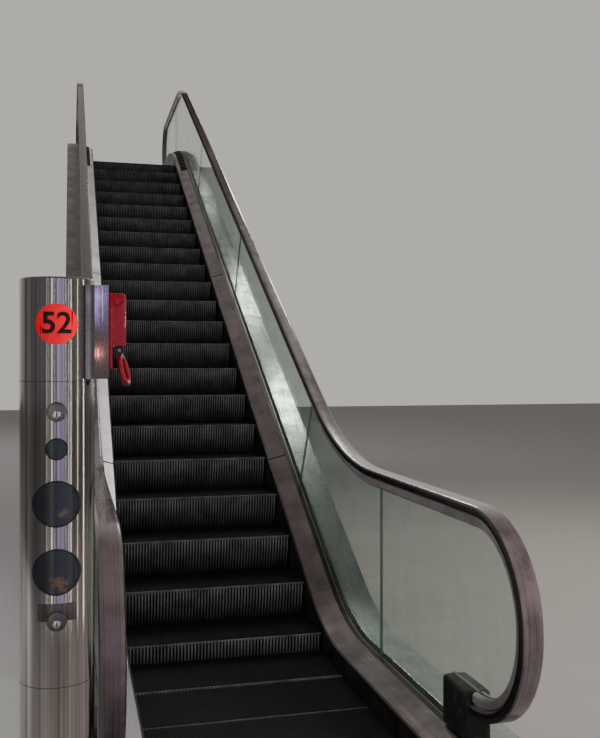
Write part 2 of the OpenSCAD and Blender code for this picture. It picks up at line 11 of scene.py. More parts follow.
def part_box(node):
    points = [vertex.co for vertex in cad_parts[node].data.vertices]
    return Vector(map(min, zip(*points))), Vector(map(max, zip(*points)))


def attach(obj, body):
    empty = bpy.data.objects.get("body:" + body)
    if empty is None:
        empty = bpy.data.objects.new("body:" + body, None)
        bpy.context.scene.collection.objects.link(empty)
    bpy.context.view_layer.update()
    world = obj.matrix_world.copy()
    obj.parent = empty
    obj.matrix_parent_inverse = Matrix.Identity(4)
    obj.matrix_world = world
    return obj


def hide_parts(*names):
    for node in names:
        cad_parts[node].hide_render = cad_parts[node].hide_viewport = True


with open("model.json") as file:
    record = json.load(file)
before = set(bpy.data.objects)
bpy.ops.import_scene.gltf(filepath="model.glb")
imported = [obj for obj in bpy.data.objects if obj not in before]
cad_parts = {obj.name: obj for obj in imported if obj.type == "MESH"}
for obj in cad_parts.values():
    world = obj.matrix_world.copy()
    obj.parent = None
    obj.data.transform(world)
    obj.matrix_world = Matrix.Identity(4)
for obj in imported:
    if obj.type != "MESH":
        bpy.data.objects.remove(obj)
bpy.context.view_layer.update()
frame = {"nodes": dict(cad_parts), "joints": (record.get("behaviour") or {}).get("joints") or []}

# Steps
# Twenty-seven steps of die-cast aluminium, painted black and worn grey where shoes and brushes touch. Each
# has a curved riser of upright ribs and a tread of fine cleats behind a solid nosing, and hangs on a chain.
# One step is made for each riser height and copied to the places of the CAD steps.
riser_r = 0.400
step_w = 1.000
step_l = 0.395
rib_pitch = 0.01705
rib_w = 0.0085
rib_d = 0.005
riser_t = 0.022
cleat_pitch = rib_pitch / 2
cleat_w = 0.0036
cleat_d = 0.008
tread_t = 0.020
nosing_l = 0.011
nosing_d = 0.012
nosing_r = 0.003
n_ribs = 58
bite = 0.001
hair_gap = 0.0003


def linear(code):
    """Turns an sRGB hex colour into the linear values that a shader mixes."""
    parts = [int(code[i:i + 2], 16) / 255 for i in (1, 3, 5)]
    return [p / 12.92 if p <= 0.04045 else ((p + 0.055) / 1.055) ** 2.4 for p in parts] + [1.0]


def plug(tree, node, sockets):
    """Sets a node's sockets, or links those whose value is another node's output."""
    for name, value in sockets.items():
        if isinstance(value, bpy.types.NodeSocket):
            tree.links.new(value, node.inputs[name])
        else:
            node.inputs[name].default_value = value


def add(tree, kind, sockets, out=0, **settings):
    """Adds a node with its settings and links, and returns one of its outputs."""
    node = tree.nodes.new("ShaderNode" + kind)
    for name, value in settings.items():
        setattr(node, name, value)
    plug(tree, node, sockets)
    return node.outputs[out]


def start(name):
    """Starts a material and returns it with its tree, its shader and the piece's coordinates in metres."""
    made = bpy.data.materials.new(name)
    made.use_nodes = True
    tree = made.node_tree
    where = add(tree, "TexCoord", {}, out="Object")
    return made, tree, tree.nodes["Principled BSDF"], where


def cast_finish(name, dark, pale, foot, metal, rough):
    """Painted die-cast aluminium under dust, in patches 90 mm and specks 4 mm wide, with painted shade at a
    riser's foot.
    """
    made, tree, shader, where = start(name)
    patches = add(tree, "TexNoise", {"Vector": where, "Scale": 1000 / 90, "Detail": 5.0, "Roughness": 0.6})
    specks = add(tree, "TexNoise", {"Vector": where, "Scale": 1000 / 4, "Detail": 2.0})
    worn = add(tree, "MapRange", {"Value": patches, "From Min": 0.35, "From Max": 0.68})
    paint = add(tree, "MixRGB", {"Fac": worn, "Color1": linear(dark), "Color2": linear(pale)})
    # Painted shade: the colour darkens by drop towards a riser's foot, where the riser curves back under its
    # nosing.
    drop = add(tree, "Attribute", {}, out="Fac", attribute_name="drop")
    low = add(tree, "MapRange", {"Value": drop, "From Min": 0.15, "From Max": 1.0, "To Max": foot})
    shaded = add(tree, "MixRGB", {"Fac": low, "Color1": paint, "Color2": linear("#080707")})
    bump = add(tree, "Bump", {"Strength": 0.25, "Distance": 0.0004, "Height": specks}, out="Normal")
    sheen = add(tree, "MapRange", {"Value": specks, "To Min": rough - 0.1, "To Max": rough + 0.1})
    plug(tree, shader, {"Base Color": shaded, "Metallic": metal, "Roughness": sheen, "Normal": bump})
    return made


cast_paint = cast_finish("die_cast_aluminium_painted_black", "#040404", "#0a0a09", 0.6, 0.0, 0.75)
worn_ribs = cast_finish("die_cast_ribs_worn_grey", "#474748", "#6d6b6a", 0.88, 0.35, 0.45)
worn_cleats = cast_finish("die_cast_cleats_worn_grey", "#0b0b0b", "#1a1a1a", 0.0, 0.2, 0.65)
worn_nosing = cast_finish("die_cast_nosing_rubbed_bright", "#2c2b2b", "#4d4b49", 0.0, 0.4, 0.45)


def bar(shape, low, high, finish=0):
    """Adds a square bar between two corners and returns its corners."""
    low, high = Vector(low), Vector(high)
    place = Matrix.Translation((low + high) / 2) @ Matrix.Diagonal((*(high - low), 1))
    verts = bmesh.ops.create_cube(shape, size=1, matrix=place)["verts"]
    for face in {f for v in verts for f in v.link_faces}:
        face.material_index = finish
    return verts


def ease(shape, edges, width, segments=2):
    """Rounds a bmesh's edges to a width."""
    bmesh.ops.bevel(shape, geom=list(set(edges)), offset=width, offset_type="OFFSET", affect="EDGES",
                    segments=segments, profile=0.5, material=-1, clamp_overlap=True)


def piece(name, shape, finishes, nodes=(), body="escalator", smooth=35):
    """Makes a finished piece of a bmesh, riding on its body, in place of the CAD nodes that it stands for."""
    mesh = bpy.data.meshes.new(name)
    shape.to_mesh(mesh)
    shape.free()
    for finish in finishes:
        mesh.materials.append(finish)
    mesh.shade_smooth()
    mesh.set_sharp_from_angle(angle=math.radians(smooth))
    made = bpy.data.objects.new(name, mesh)
    bpy.context.scene.collection.objects.link(made)
    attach(made, body)
    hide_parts(*nodes)
    return made


def riser_strip(shape, corners, turn, finish):
    """Sweeps a strip of riser down from the nosing, round the centre of the riser's curve."""
    face = shape.faces.new([shape.verts.new((x, y, 0)) for x, y in corners])
    face.material_index = finish
    bmesh.ops.spin(shape, geom=[face, *face.edges, *face.verts], cent=(0, riser_r, 0), axis=(1, 0, 0),
                   dvec=(0, 0, 0), angle=turn, steps=5, use_merge=False, use_duplicate=False)


def step_shape(height):
    """One step with the middle of its nosing at the origin."""
    shape = bmesh.new()
    drop = shape.verts.layers.float.new("drop")
    turn = math.asin(height / riser_r)
    side = step_w / 2
    riser_strip(shape, [(-side, rib_d), (side, rib_d), (side, riser_t), (-side, riser_t)], turn, 0)
    narrow, wide = rib_w * 0.42, rib_w * 0.55
    for i in range(n_ribs):
        x = (i - (n_ribs - 1) / 2) * rib_pitch
        riser_strip(shape, [(x - narrow, 0), (x + narrow, 0), (x + wide, rib_d + bite),
                            (x - wide, rib_d + bite)], turn, 1)
    bar(shape, (-side, rib_d + bite, -cleat_d - tread_t), (side, step_l, -cleat_d))
    for i in range(2 * n_ribs + 1):
        x = (i - n_ribs) * cleat_pitch
        bar(shape, (x - cleat_w / 2, nosing_l - 2 * bite, -cleat_d - bite), (x + cleat_w / 2, step_l, 0), 2)
    nosing = bar(shape, (-side, hair_gap, -nosing_d), (side, nosing_l, 0), 3)
    top_front = [e for v in nosing for e in v.link_edges
                 if all(p.co.z > -0.001 and p.co.y < 0.001 for p in e.verts)]
    ease(shape, top_front, nosing_r)
    # drop is 0 at the nosing and 1 at the riser's foot; the finishes paint shade with it.
    for v in shape.verts:
        v[drop] = max(0.0, -v.co.z / height)
    bmesh.ops.recalc_face_normals(shape, faces=shape.faces)
    return shape


step_nodes = sorted(n for n in frame["nodes"] if n.startswith("step_") and n != "step_tracks")
step_meshes = {}
for node in step_nodes:
    low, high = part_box(node)
    height = round(high.z - low.z, 4)
    if height not in step_meshes:
        pattern = step_shape(height)
        step_meshes[height] = bpy.data.meshes.new("step_pattern")
        pattern.to_mesh(step_meshes[height])
        pattern.free()
    shape = bmesh.new()
    shape.from_mesh(step_meshes[height])
    bmesh.ops.translate(shape, verts=shape.verts, vec=(0, low.y, high.z))
    piece(node + "_cleated", shape, [cast_paint, worn_ribs, worn_cleats, worn_nosing], [node])
for pattern in step_meshes.values():
    bpy.data.meshes.remove(pattern)

# Comb plates
# Five aluminium comb segments side by side at each landing, cast with teeth that reach into the tread's
# grooves, and screwed down. Each segment is an outline drawn across the escalator and extruded.
comb_low, comb_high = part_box("comb_plates")
comb_l = 0.240
comb_rise = 0.008
comb_slope = 0.070
comb_reach = 0.012
comb_t = 0.030
comb_n = 5
comb_tip_t = 0.002
comb_heel = 0.004
comb_screw_r = 0.006
comb_screw_in = 0.020
tooth_w = 0.0034
tooth_l = 0.016
tooth_up = 0.0022
tooth_down = 0.005
tooth_tip_z = -0.003


def metal_finish(name, bright, dull, mm_across, mm_along, rough, metal=1.0):
    """Rolled or brushed metal: its grain runs up the escalator, and dirt lies in soft patches 160 mm wide."""
    made, tree, shader, where = start(name)
    grain_at = add(tree, "Mapping", {"Vector": where, "Scale": (1000 / mm_across, 1000 / mm_along, 2.0)})
    grain = add(tree, "TexNoise", {"Vector": grain_at, "Scale": 1.0, "Detail": 4.0, "Roughness": 0.7})
    patches = add(tree, "TexNoise", {"Vector": where, "Scale": 1000 / 160, "Detail": 6.0, "Roughness": 0.62})
    mixed = add(tree, "MixRGB", {"Fac": 0.45, "Color1": patches, "Color2": grain})
    tone = add(tree, "MapRange", {"Value": mixed, "From Min": 0.36, "From Max": 0.64})
    colour = add(tree, "MixRGB", {"Fac": tone, "Color1": linear(dull), "Color2": linear(bright)})
    sheen = add(tree, "MapRange", {"Value": tone, "To Min": rough + 0.12, "To Max": rough - 0.06})
    bump = add(tree, "Bump", {"Strength": 0.3, "Distance": 0.00003, "Height": grain}, out="Normal")
    plug(tree, shader, {"Base Color": colour, "Metallic": metal, "Roughness": sheen, "Normal": bump})
    return made


cast_comb = metal_finish("cast_aluminium_comb", "#b3b1ac", "#7d7a75", 6, 60, 0.42)
screw_steel = metal_finish("turned_stainless_screw", "#a5a29e", "#6e6a66", 2, 2, 0.32)


def prism(shape, outline, x0, x1, finish=0):
    """Adds a bar across the escalator from its outline in y and z."""
    face = shape.faces.new([shape.verts.new((x0, y, z)) for y, z in outline])
    face.material_index = finish
    made = bmesh.ops.extrude_face_region(shape, geom=[face])["geom"]
    far = [g for g in made if isinstance(g, bmesh.types.BMVert)]
    bmesh.ops.translate(shape, verts=far, vec=(x1 - x0, 0, 0))


def rod(shape, centre, radius, height, axis=(0, 0, 1), segments=24, finish=0, end_radius=None):
    """Adds a round bar that starts at centre and goes along axis, and returns its corners."""
    axis = Vector(axis).normalized()
    turn = Vector((0, 0, 1)).rotation_difference(axis).to_matrix().to_4x4()
    place = Matrix.Translation(Vector(centre) + axis * height / 2) @ turn
    verts = bmesh.ops.create_cone(shape, cap_ends=True, segments=segments, radius1=radius,
                                  radius2=radius if end_radius is None else end_radius,
                                  depth=height, matrix=place)["verts"]
    for face in {f for v in verts for f in v.link_faces}:
        face.material_index = finish
    return verts


def screw(shape, at, axis, radius, finish):
    """Adds a low screw head with a cross slot's ridge, standing half a millimetre proud."""
    rod(shape, Vector(at) - Vector(axis) * 0.001, radius, 0.0015, axis, 16, finish, radius * 0.82)
    rod(shape, Vector(at), radius * 0.4, 0.0009, axis, 6, finish, radius * 0.3)


def comb_shape():
    """One row of comb segments with the comb's line at the origin and its teeth towards +y."""
    shape = bmesh.new()
    width = (comb_high.x - comb_low.x) / comb_n
    for i in range(comb_n):
        x0 = comb_low.x + i * width + hair_gap
        prism(shape, [(-comb_l, comb_rise), (-comb_slope, comb_rise), (comb_reach, hair_gap + comb_tip_t),
                      (comb_reach, hair_gap), (-comb_heel, hair_gap), (-comb_heel, comb_rise - comb_t),
                      (-comb_l, comb_rise - comb_t)], x0, x0 + width - 2 * hair_gap)
        for part in (0.2, 0.8):
            for y in (-comb_l + comb_screw_in, -comb_slope - comb_screw_in):
                screw(shape, (x0 + part * width, y, comb_rise), (0, 0, 1), comb_screw_r, 1)
    for i in range(2 * n_ribs):
        x = (i - n_ribs + 0.5) * cleat_pitch
        tooth = bar(shape, (x - tooth_w / 2, -comb_heel - 2 * bite, -tooth_down),
                    (x + tooth_w / 2, comb_reach + tooth_l, tooth_up))
        for v in tooth:
            if v.co.y > comb_reach and v.co.z > 0:
                v.co.z = tooth_tip_z
    return shape


for name, tip_y, tread, way in (("lower_comb", comb_low.y + comb_l, comb_low.z + comb_t - comb_rise, 1),
                                ("upper_comb", comb_high.y - comb_l, comb_high.z - comb_rise, -1)):
    shape = comb_shape()
    bmesh.ops.transform(shape, verts=shape.verts,
                        matrix=Matrix.Translation((0, tip_y, tread)) @ Matrix.Diagonal((1, way, 1, 1)))
    bmesh.ops.recalc_face_normals(shape, faces=shape.faces)
    piece(name, shape, [cast_comb, screw_steel], ["comb_plates"])

# Floor plates
# Lift-out covers of ribbed aluminium over the two landings, in stainless steel edge frames, on the bearers of
# the landing frames. Their ribs run with the travel. Each is a row of bars on a sunk plate.
edge_w = 0.014
floor_rib_pitch = 0.012
floor_rib_w = 0.005
floor_rib_h = 0.002
floor_t = 0.028
edge_t = 0.012
edge_sunk = 0.0002
rib_end = 0.003
seat_t = 0.026
seat_in = 0.002
joint_gap = 0.001
neck_x = 0.503
ribbed_plate = metal_finish("ribbed_aluminium_plate", "#96938e", "#5f5c58", 8, 80, 0.45)
edge_frame = metal_finish("stainless_edge_frame", "#a8a5a1", "#75716d", 3, 90, 0.34)
dark_gap_dirt_and_shade = metal_finish("gap_dirt_and_painted_shade", "#1a1816", "#0c0b0a", 9, 9, 0.85, metal=0.0)


def ribbed_field(shape, x0, x1, y0, y1, z):
    """A framed field of ribs whose tops lie at z."""
    bar(shape, (x0, y0, z - floor_t), (x1, y1, z - floor_rib_h), 0)
    for a0, b0, a1, b1 in ((x0, y0, x1, y0 + edge_w), (x0, y1 - edge_w, x1, y1),
                           (x0, y0, x0 + edge_w, y1), (x1 - edge_w, y0, x1, y1)):
        bar(shape, (a0, b0, z - edge_t), (a1, b1, z - edge_sunk), 1)
    count = int((x1 - x0 - 2 * edge_w) / floor_rib_pitch)
    for i in range(count):
        x = (x0 + x1) / 2 + (i - (count - 1) / 2) * floor_rib_pitch
        bar(shape, (x - floor_rib_w / 2, y0 + edge_w + rib_end, z - floor_rib_h - bite),
            (x + floor_rib_w / 2, y1 - edge_w - rib_end, z), 0)


deck_low, deck_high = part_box("outer_deck_right")
for node, turn_y, wide_first in (("lower_floor_plate", deck_low.y, True),
                                 ("upper_floor_plate", deck_high.y, False)):
    low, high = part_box(node)
    shape = bmesh.new()
    wide = (low.y, turn_y) if wide_first else (turn_y, high.y)
    neck = (turn_y, high.y) if wide_first else (low.y, turn_y)
    middle = (wide[0] + wide[1]) / 2
    for y0, y1 in ((wide[0], middle - joint_gap), (middle + joint_gap, wide[1] - joint_gap)):
        ribbed_field(shape, low.x, -joint_gap, y0, y1, high.z)
        ribbed_field(shape, joint_gap, high.x, y0, y1, high.z)
    ribbed_field(shape, -neck_x, neck_x, neck[0] + joint_gap, neck[1], high.z)
    bar(shape, (low.x + seat_in, wide[0] + seat_in, low.z),
        (high.x - seat_in, wide[1] - seat_in, high.z - seat_t), 2)
    bmesh.ops.recalc_face_normals(shape, faces=shape.faces)
    piece(node + "_ribbed", shape, [ribbed_plate, edge_frame, dark_gap_dirt_and_shade], [node])

# Landing frames and step tracks
# Welded pans and bearing flanges of galvanised steel that carry each end, and the tracks that the step
# rollers run on. They stay as the CAD made them and take the zinc's grey spangle, as the post's foot does.


def galvanised():
    """Hot-dip zinc on steel: flat crystals about 14 mm wide in slightly different greys, dulled by dust."""
    made, tree, shader, where = start("galvanised_steel")
    spangle = add(tree, "TexVoronoi", {"Vector": where, "Scale": 1000 / 14}, out="Color")
    dust = add(tree, "TexNoise", {"Vector": where, "Scale": 1000 / 120, "Detail": 5.0})
    grey = add(tree, "RGBToBW", {"Color": spangle})
    zinc = add(tree, "MixRGB", {"Fac": grey, "Color1": linear("#6f7274"), "Color2": linear("#94979a")})
    dusty = add(tree, "MixRGB", {"Fac": dust, "Color1": zinc, "Color2": linear("#5d5750")})
    sheen = add(tree, "MapRange", {"Value": grey, "To Min": 0.4, "To Max": 0.58})
    plug(tree, shader, {"Base Color": dusty, "Metallic": 0.85, "Roughness": sheen})
    return made


zinc_steel = galvanised()
for node in ("lower_landing_frame", "upper_landing_frame", "step_tracks", "post_foot"):
    frame["nodes"][node].data.materials.clear()
    frame["nodes"][node].data.materials.append(zinc_steel)

# Skirts
# Black coated steel panels beside the steps, 4 mm clear of them, clipped under the inner decks. Shoes and
# brushes rub the coat, so it has fine scratches along the slope and dust in patches.
slope = math.radians(30)
bend_y = 2.5719
tread_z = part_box("step_01")[1].z
skirt_r = 0.0012
weld = 0.00001


def skirt_coat():
    """Baked black coat on steel sheet: low gloss, scratches 1.5 mm apart along the slope, dust in patches."""
    made, tree, shader, where = start("black_coated_steel_sheet")
    turned = add(tree, "Mapping", {"Vector": where, "Rotation": (-slope, 0, 0)})
    along = add(tree, "Mapping", {"Vector": turned, "Scale": (1.0, 1000 / 300, 1000 / 1.5)})
    scratch = add(tree, "TexNoise", {"Vector": along, "Scale": 1.0, "Detail": 3.0})
    dust = add(tree, "TexNoise", {"Vector": where, "Scale": 1000 / 110, "Detail": 6.0, "Roughness": 0.65})
    mixed = add(tree, "MixRGB", {"Fac": 0.5, "Color1": scratch, "Color2": dust})
    tone = add(tree, "MapRange", {"Value": mixed, "From Min": 0.42, "From Max": 0.66})
    colour = add(tree, "MixRGB", {"Fac": tone, "Color1": linear("#0b0a0a"), "Color2": linear("#2a2522")})
    sheen = add(tree, "MapRange", {"Value": tone, "To Min": 0.36, "To Max": 0.6})
    bump = add(tree, "Bump", {"Strength": 0.2, "Distance": 0.0001, "Height": scratch}, out="Normal")
    plug(tree, shader, {"Base Color": colour, "Roughness": sheen, "Normal": bump})
    return made


def merged(node):
    """Copies a CAD node's mesh and joins its triangles into whole faces."""
    shape = bmesh.new()
    shape.from_mesh(frame["nodes"][node].data)
    for face in shape.faces:
        face.material_index = 0
    bmesh.ops.remove_doubles(shape, verts=shape.verts, dist=weld)
    bmesh.ops.dissolve_limit(shape, angle_limit=math.radians(0.4), verts=shape.verts, edges=shape.edges)
    shape.normal_update()
    return shape


def rounded(made, width, segments=2):
    """Rounds a finished piece's sharp edges with a bevel."""
    edge = made.modifiers.new("rounded_edges", "BEVEL")
    edge.width = width
    edge.segments = segments
    edge.limit_method = "ANGLE"
    edge.angle_limit = math.radians(38)
    return made


black_coat = skirt_coat()
for side in ("left", "right"):
    skirt = piece("skirt_panel_" + side, merged("skirt_" + side), [black_coat],
                  ["skirt_" + side])
    rounded(skirt, skirt_r)

# Inner decks
# Folded stainless steel decks that lean from the skirts up to the glass clamps, butt-jointed and screwed at
# their joints. Both are one brushed steel in two tones: the left one pale, as painted light, and the right
# one darker brown, partly a brown film of wear and partly painted shade.
deck_h = 0.032
deck_joints = (1.460, 3.990)
inner_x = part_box("inner_deck_right")[0].x
deck_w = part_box("inner_deck_right")[1].x - inner_x
deck_fall = 0.036
joint_fill = 0.008
joint_deep = 0.006
joint_proud = 0.002
joint_screw_r = 0.005
joint_screw_off = 0.030
deck_r = 0.002
# The two tones stand for how the light falls: the left deck's pale colour is painted light, the right's
# darker brown partly painted shade.
brown_film_and_painted_shade_deck = metal_finish("brushed_steel_brown_film_and_painted_shade", "#93898a", "#675d5e", 2.2, 900, 0.3)
painted_light_deck = metal_finish("brushed_steel_painted_light", "#dad6dd", "#b2aeb5", 2.2, 900, 0.32)


def deck_point(side, part, distance):
    """A point on an inner deck: part of its width from the inner edge, at a distance up from the bend."""
    y = bend_y + distance
    z = tread_z + deck_h + distance * math.tan(slope) + deck_fall * part / math.cos(slope)
    return Vector((side * (inner_x + part * deck_w), y, z))


lean = math.atan2(deck_fall, deck_w)
for side, way, finish in (("left", -1, painted_light_deck), ("right", 1, brown_film_and_painted_shade_deck)):
    shape = merged("inner_deck_" + side)
    up = Vector((-way * math.sin(lean), -math.sin(slope) * math.cos(lean),
                 math.cos(slope) * math.cos(lean)))
    for joint in deck_joints:
        for offset in (-joint_screw_off, joint_screw_off):
            for part in (0.18, 0.82):
                screw(shape, deck_point(way, part, joint + offset), up, joint_screw_r, 1)
    deck = piece("inner_deck_panels_" + side, shape, [finish, screw_steel],
                 ["inner_deck_" + side])
    rounded(deck, deck_r, 3)
    shape = bmesh.new()
    for joint in deck_joints:
        strip = bar(shape, (0.001, -joint_fill / 2, -joint_deep),
                    (math.hypot(deck_w, deck_fall) - 0.001, joint_fill / 2, joint_proud))
        bmesh.ops.transform(shape, verts=strip, matrix=Matrix.Translation(deck_point(1, 0, joint))
                            @ Matrix.Rotation(slope, 4, "X") @ Matrix.Rotation(-lean, 4, "Y"))
    bmesh.ops.scale(shape, verts=shape.verts, vec=(way, 1, 1))
    bmesh.ops.recalc_face_normals(shape, faces=shape.faces)
    piece("inner_deck_joints_" + side, shape, [dark_gap_dirt_and_shade])

# Outer decks
# Level stainless steel decks outside the glass, folded down over the housing. Their dusty tops show through
# the glass, the right one brighter than the left.
dusty_deck = metal_finish("stainless_deck_under_dust", "#bcc3bf", "#7f8784", 5, 260, 0.24)
grimy_deck = metal_finish("stainless_deck_under_grime", "#868583", "#716f6c", 5, 260, 0.3)
for side, finish in (("left", grimy_deck), ("right", dusty_deck)):
    deck = piece("outer_deck_panels_" + side, merged("outer_deck_" + side), [finish],
                 ["outer_deck_" + side])
    rounded(deck, 0.003, 3)

# Deck covers
# Thin covers of black coated sheet, stuck on the inner decks at the upper bend. Their coat has flaked to a
# grey primer in spots.


def chipped_black():
    """Black coat on a thin sheet, flaked in spots 9 mm wide down to a grey primer."""
    made, tree, shader, where = start("black_sheet_chipped")
    spots = add(tree, "TexNoise", {"Vector": where, "Scale": 1000 / 22, "Detail": 7.0, "Roughness": 0.7})
    chips = add(tree, "MapRange", {"Value": spots, "From Min": 0.55, "From Max": 0.58})
    colour = add(tree, "MixRGB", {"Fac": chips, "Color1": linear("#050505"), "Color2": linear("#77706a")})
    bump = add(tree, "Bump", {"Strength": 0.6, "Distance": 0.0005, "Height": chips}, out="Normal")
    plug(tree, shader, {"Base Color": colour, "Roughness": 0.8, "Specular IOR Level": 0.15, "Normal": bump})
    return made


chipped = chipped_black()
covers = piece("deck_cover_sheets", merged("upper_deck_covers"), [chipped],
               ["upper_deck_covers"])
rounded(covers, 0.0008)

# Clad truss
# The truss is boxed in by stainless steel panels about 1.2 m long with shadow joints between them, hung on
# it by hidden clips. Each side is cut across the slope, drawn in a little and given raised panels.
panel_l = 1.22
panel_raise = 0.004
panel_gap = 0.006
side_planes_past = 2.4
soffit_planes_past = 2.0
clad_steel = metal_finish("brushed_stainless_cladding", "#aaa8a7", "#928f8d", 3, 700, 0.36)


def cut(shape, at, normal, reach=0.0002):
    """Cuts a shape's faces where a plane crosses them."""
    bmesh.ops.bisect_plane(shape, geom=[*shape.verts, *shape.edges, *shape.faces], dist=reach, plane_co=at,
                           plane_no=normal)


def cut_across(shape, start_y, stop_y, normal):
    """Cuts a shape into panel lengths by planes square to its run, which lean past its end."""
    y = start_y
    while y < stop_y:
        cut(shape, (0, y, 0), normal)
        y += panel_l / abs(normal[1])


def raise_panels(shape, facing):
    """Draws in the faces that look one way, and raises a panel on each."""
    shape.normal_update()
    outer = [f for f in shape.faces if f.normal.dot(facing) > 0.99]
    verts = {v for f in outer for v in f.verts}
    bmesh.ops.translate(shape, verts=list(verts), vec=-facing * panel_raise)
    folds = bmesh.ops.inset_individual(shape, faces=outer, thickness=panel_gap, depth=panel_raise,
                                       use_even_offset=True)["faces"]
    for face in folds:
        face.material_index = 1


across = Vector((0, math.cos(slope), math.sin(slope)))
for side, way in (("left", -1), ("right", 1)):
    shape = merged("side_housing_" + side)
    low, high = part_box("side_housing_" + side)
    cut_across(shape, low.y + panel_l * 0.9, high.y + side_planes_past, across)
    raise_panels(shape, Vector((way, 0, 0)))
    piece("cladding_" + side, shape, [clad_steel, dark_gap_dirt_and_shade], ["side_housing_" + side],
          smooth=20)

shape = merged("soffit_panel")
soffit_low, soffit_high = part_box("soffit_panel")
cut_across(shape, soffit_low.y + panel_l, soffit_high.y + soffit_planes_past, across)
piece("soffit_sheets", shape, [clad_steel], ["soffit_panel"], smooth=20)

shape = merged("upper_end_panel")
cut(shape, (0, 0, 0), (1, 0, 0))
raise_panels(shape, Vector((0, 1, 0)))
piece("end_sheets", shape, [clad_steel, dark_gap_dirt_and_shade], ["upper_end_panel"], smooth=20)

# Glass clamps
# Aluminium channels between the decks that hold the foot of the glass on packers. A bright stripe painted as
# a highlight along the edge and a black gasket run beside the glass.
clamp_edge_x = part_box("glass_right")[0].x


def clamp_strip():
    """Dark anodised aluminium, with a highlight 2.4 mm wide painted along its edge and a rubber gasket 4.5 mm
    by the glass.
    """
    made, tree, shader, where = start("dark_anodised_aluminium_clamp")
    apart = add(tree, "SeparateXYZ", {"Vector": where})
    reach = add(tree, "Math", {0: apart}, operation="ABSOLUTE")
    inward = add(tree, "Math", {0: clamp_edge_x, 1: reach}, operation="SUBTRACT")
    dust = add(tree, "TexNoise", {"Vector": where, "Scale": 1000 / 70, "Detail": 5.0})
    tone = add(tree, "MixRGB", {"Fac": dust, "Color1": linear("#232120"), "Color2": linear("#3f3c3b")})
    # Painted highlight: a stripe 2.4 mm wide, about 7.5 mm from the glass, is coloured near-white.
    edge = add(tree, "Math", {0: inward, 1: 0.0075, 2: 0.0012}, operation="COMPARE")
    painted_edge_highlight = add(tree, "MixRGB", {"Fac": edge, "Color1": tone, "Color2": linear("#b3aeb0")})
    rubber = add(tree, "Math", {0: inward, 1: 0.0045}, operation="LESS_THAN")
    colour = add(tree, "MixRGB", {"Fac": rubber, "Color1": painted_edge_highlight, "Color2": linear("#12100f")})
    metal = add(tree, "MapRange", {"Value": rubber, "To Min": 0.85, "To Max": 0.0})
    plug(tree, shader, {"Base Color": colour, "Metallic": metal, "Roughness": 0.4})
    return made


clamp_metal = clamp_strip()
clamps = piece("clamp_channels", merged("glass_clamps"), [clamp_metal],
               ["glass_clamps"])
rounded(clamps, 0.001)

# Glass
# Panes of clear toughened glass 12 mm thick with ground edges, set in the clamps and carrying the handrail
# guide. Dust and wiping leave pale streaks that run down the panes.


def pane_glass():
    """Clear float glass, faintly green: the decks show through, and it mirrors at a low angle under dust."""
    made, tree, shader, where = start("toughened_float_glass")
    tree.nodes.remove(shader)
    hang = add(tree, "Mapping", {"Vector": where, "Scale": (1.0, 1000 / 35, 1000 / 260)})
    streaks = add(tree, "TexNoise", {"Vector": hang, "Scale": 1.0, "Detail": 5.0, "Roughness": 0.6})
    smears = add(tree, "TexNoise", {"Vector": where, "Scale": 1000 / 180, "Detail": 6.0, "Distortion": 0.8})
    mixed = add(tree, "MixRGB", {"Fac": 0.5, "Color1": streaks, "Color2": smears})
    film = add(tree, "MapRange", {"Value": mixed, "From Min": 0.42, "From Max": 0.7, "To Min": 0.03,
                                  "To Max": 0.16})
    clear = add(tree, "BsdfTransparent", {"Color": linear("#f1f7f4")})
    mirror = add(tree, "BsdfGlossy", {"Color": linear("#f4f7f5"), "Roughness": 0.03})
    grazing = add(tree, "LayerWeight", {"Blend": 0.5}, out="Facing")
    steep = add(tree, "Math", {0: grazing, 1: 5.0}, operation="POWER")
    share = add(tree, "MapRange", {"Value": steep, "To Min": 0.04, "To Max": 1.0})
    pane = add(tree, "MixShader", {0: share, 1: clear, 2: mirror})
    dust = add(tree, "BsdfDiffuse", {"Color": linear("#b9c0ba")})
    dusty = add(tree, "MixShader", {0: film, 1: pane, 2: dust})
    tree.links.new(dusty, tree.nodes["Material Output"].inputs["Surface"])
    return made


def ground_edge():
    """The ground edge of green float glass, darker because the eye looks through the pane's whole width."""
    made, tree, shader, where = start("ground_glass_edge")
    grind = add(tree, "TexNoise", {"Vector": where, "Scale": 1000 / 1.5, "Detail": 2.0})
    colour = add(tree, "MixRGB", {"Fac": grind, "Color1": linear("#4b5a55"), "Color2": linear("#6c7a74")})
    plug(tree, shader, {"Base Color": colour, "Roughness": 0.25})
    return made


clear_pane = pane_glass()
green_edge = ground_edge()
for side in ("left", "right"):
    shape = merged("glass_" + side)
    for face in shape.faces:
        if abs(face.normal.x) < 0.5:
            face.material_index = 1
    piece("panes_" + side, shape, [clear_pane, green_edge], ["glass_" + side])

# Handrail guides
# Rolled stainless steel guides pushed on the glass's rim, on which the handrail slides. Their brushed sides
# show between the glass and the handrail.
guide_steel = metal_finish("rolled_stainless_guide", "#a89f9b", "#6b6361", 3, 800, 0.3, 0.45)
for side in ("left", "right"):
    piece("guide_rail_" + side, merged("handrail_guide_" + side), [guide_steel],
          ["handrail_guide_" + side])
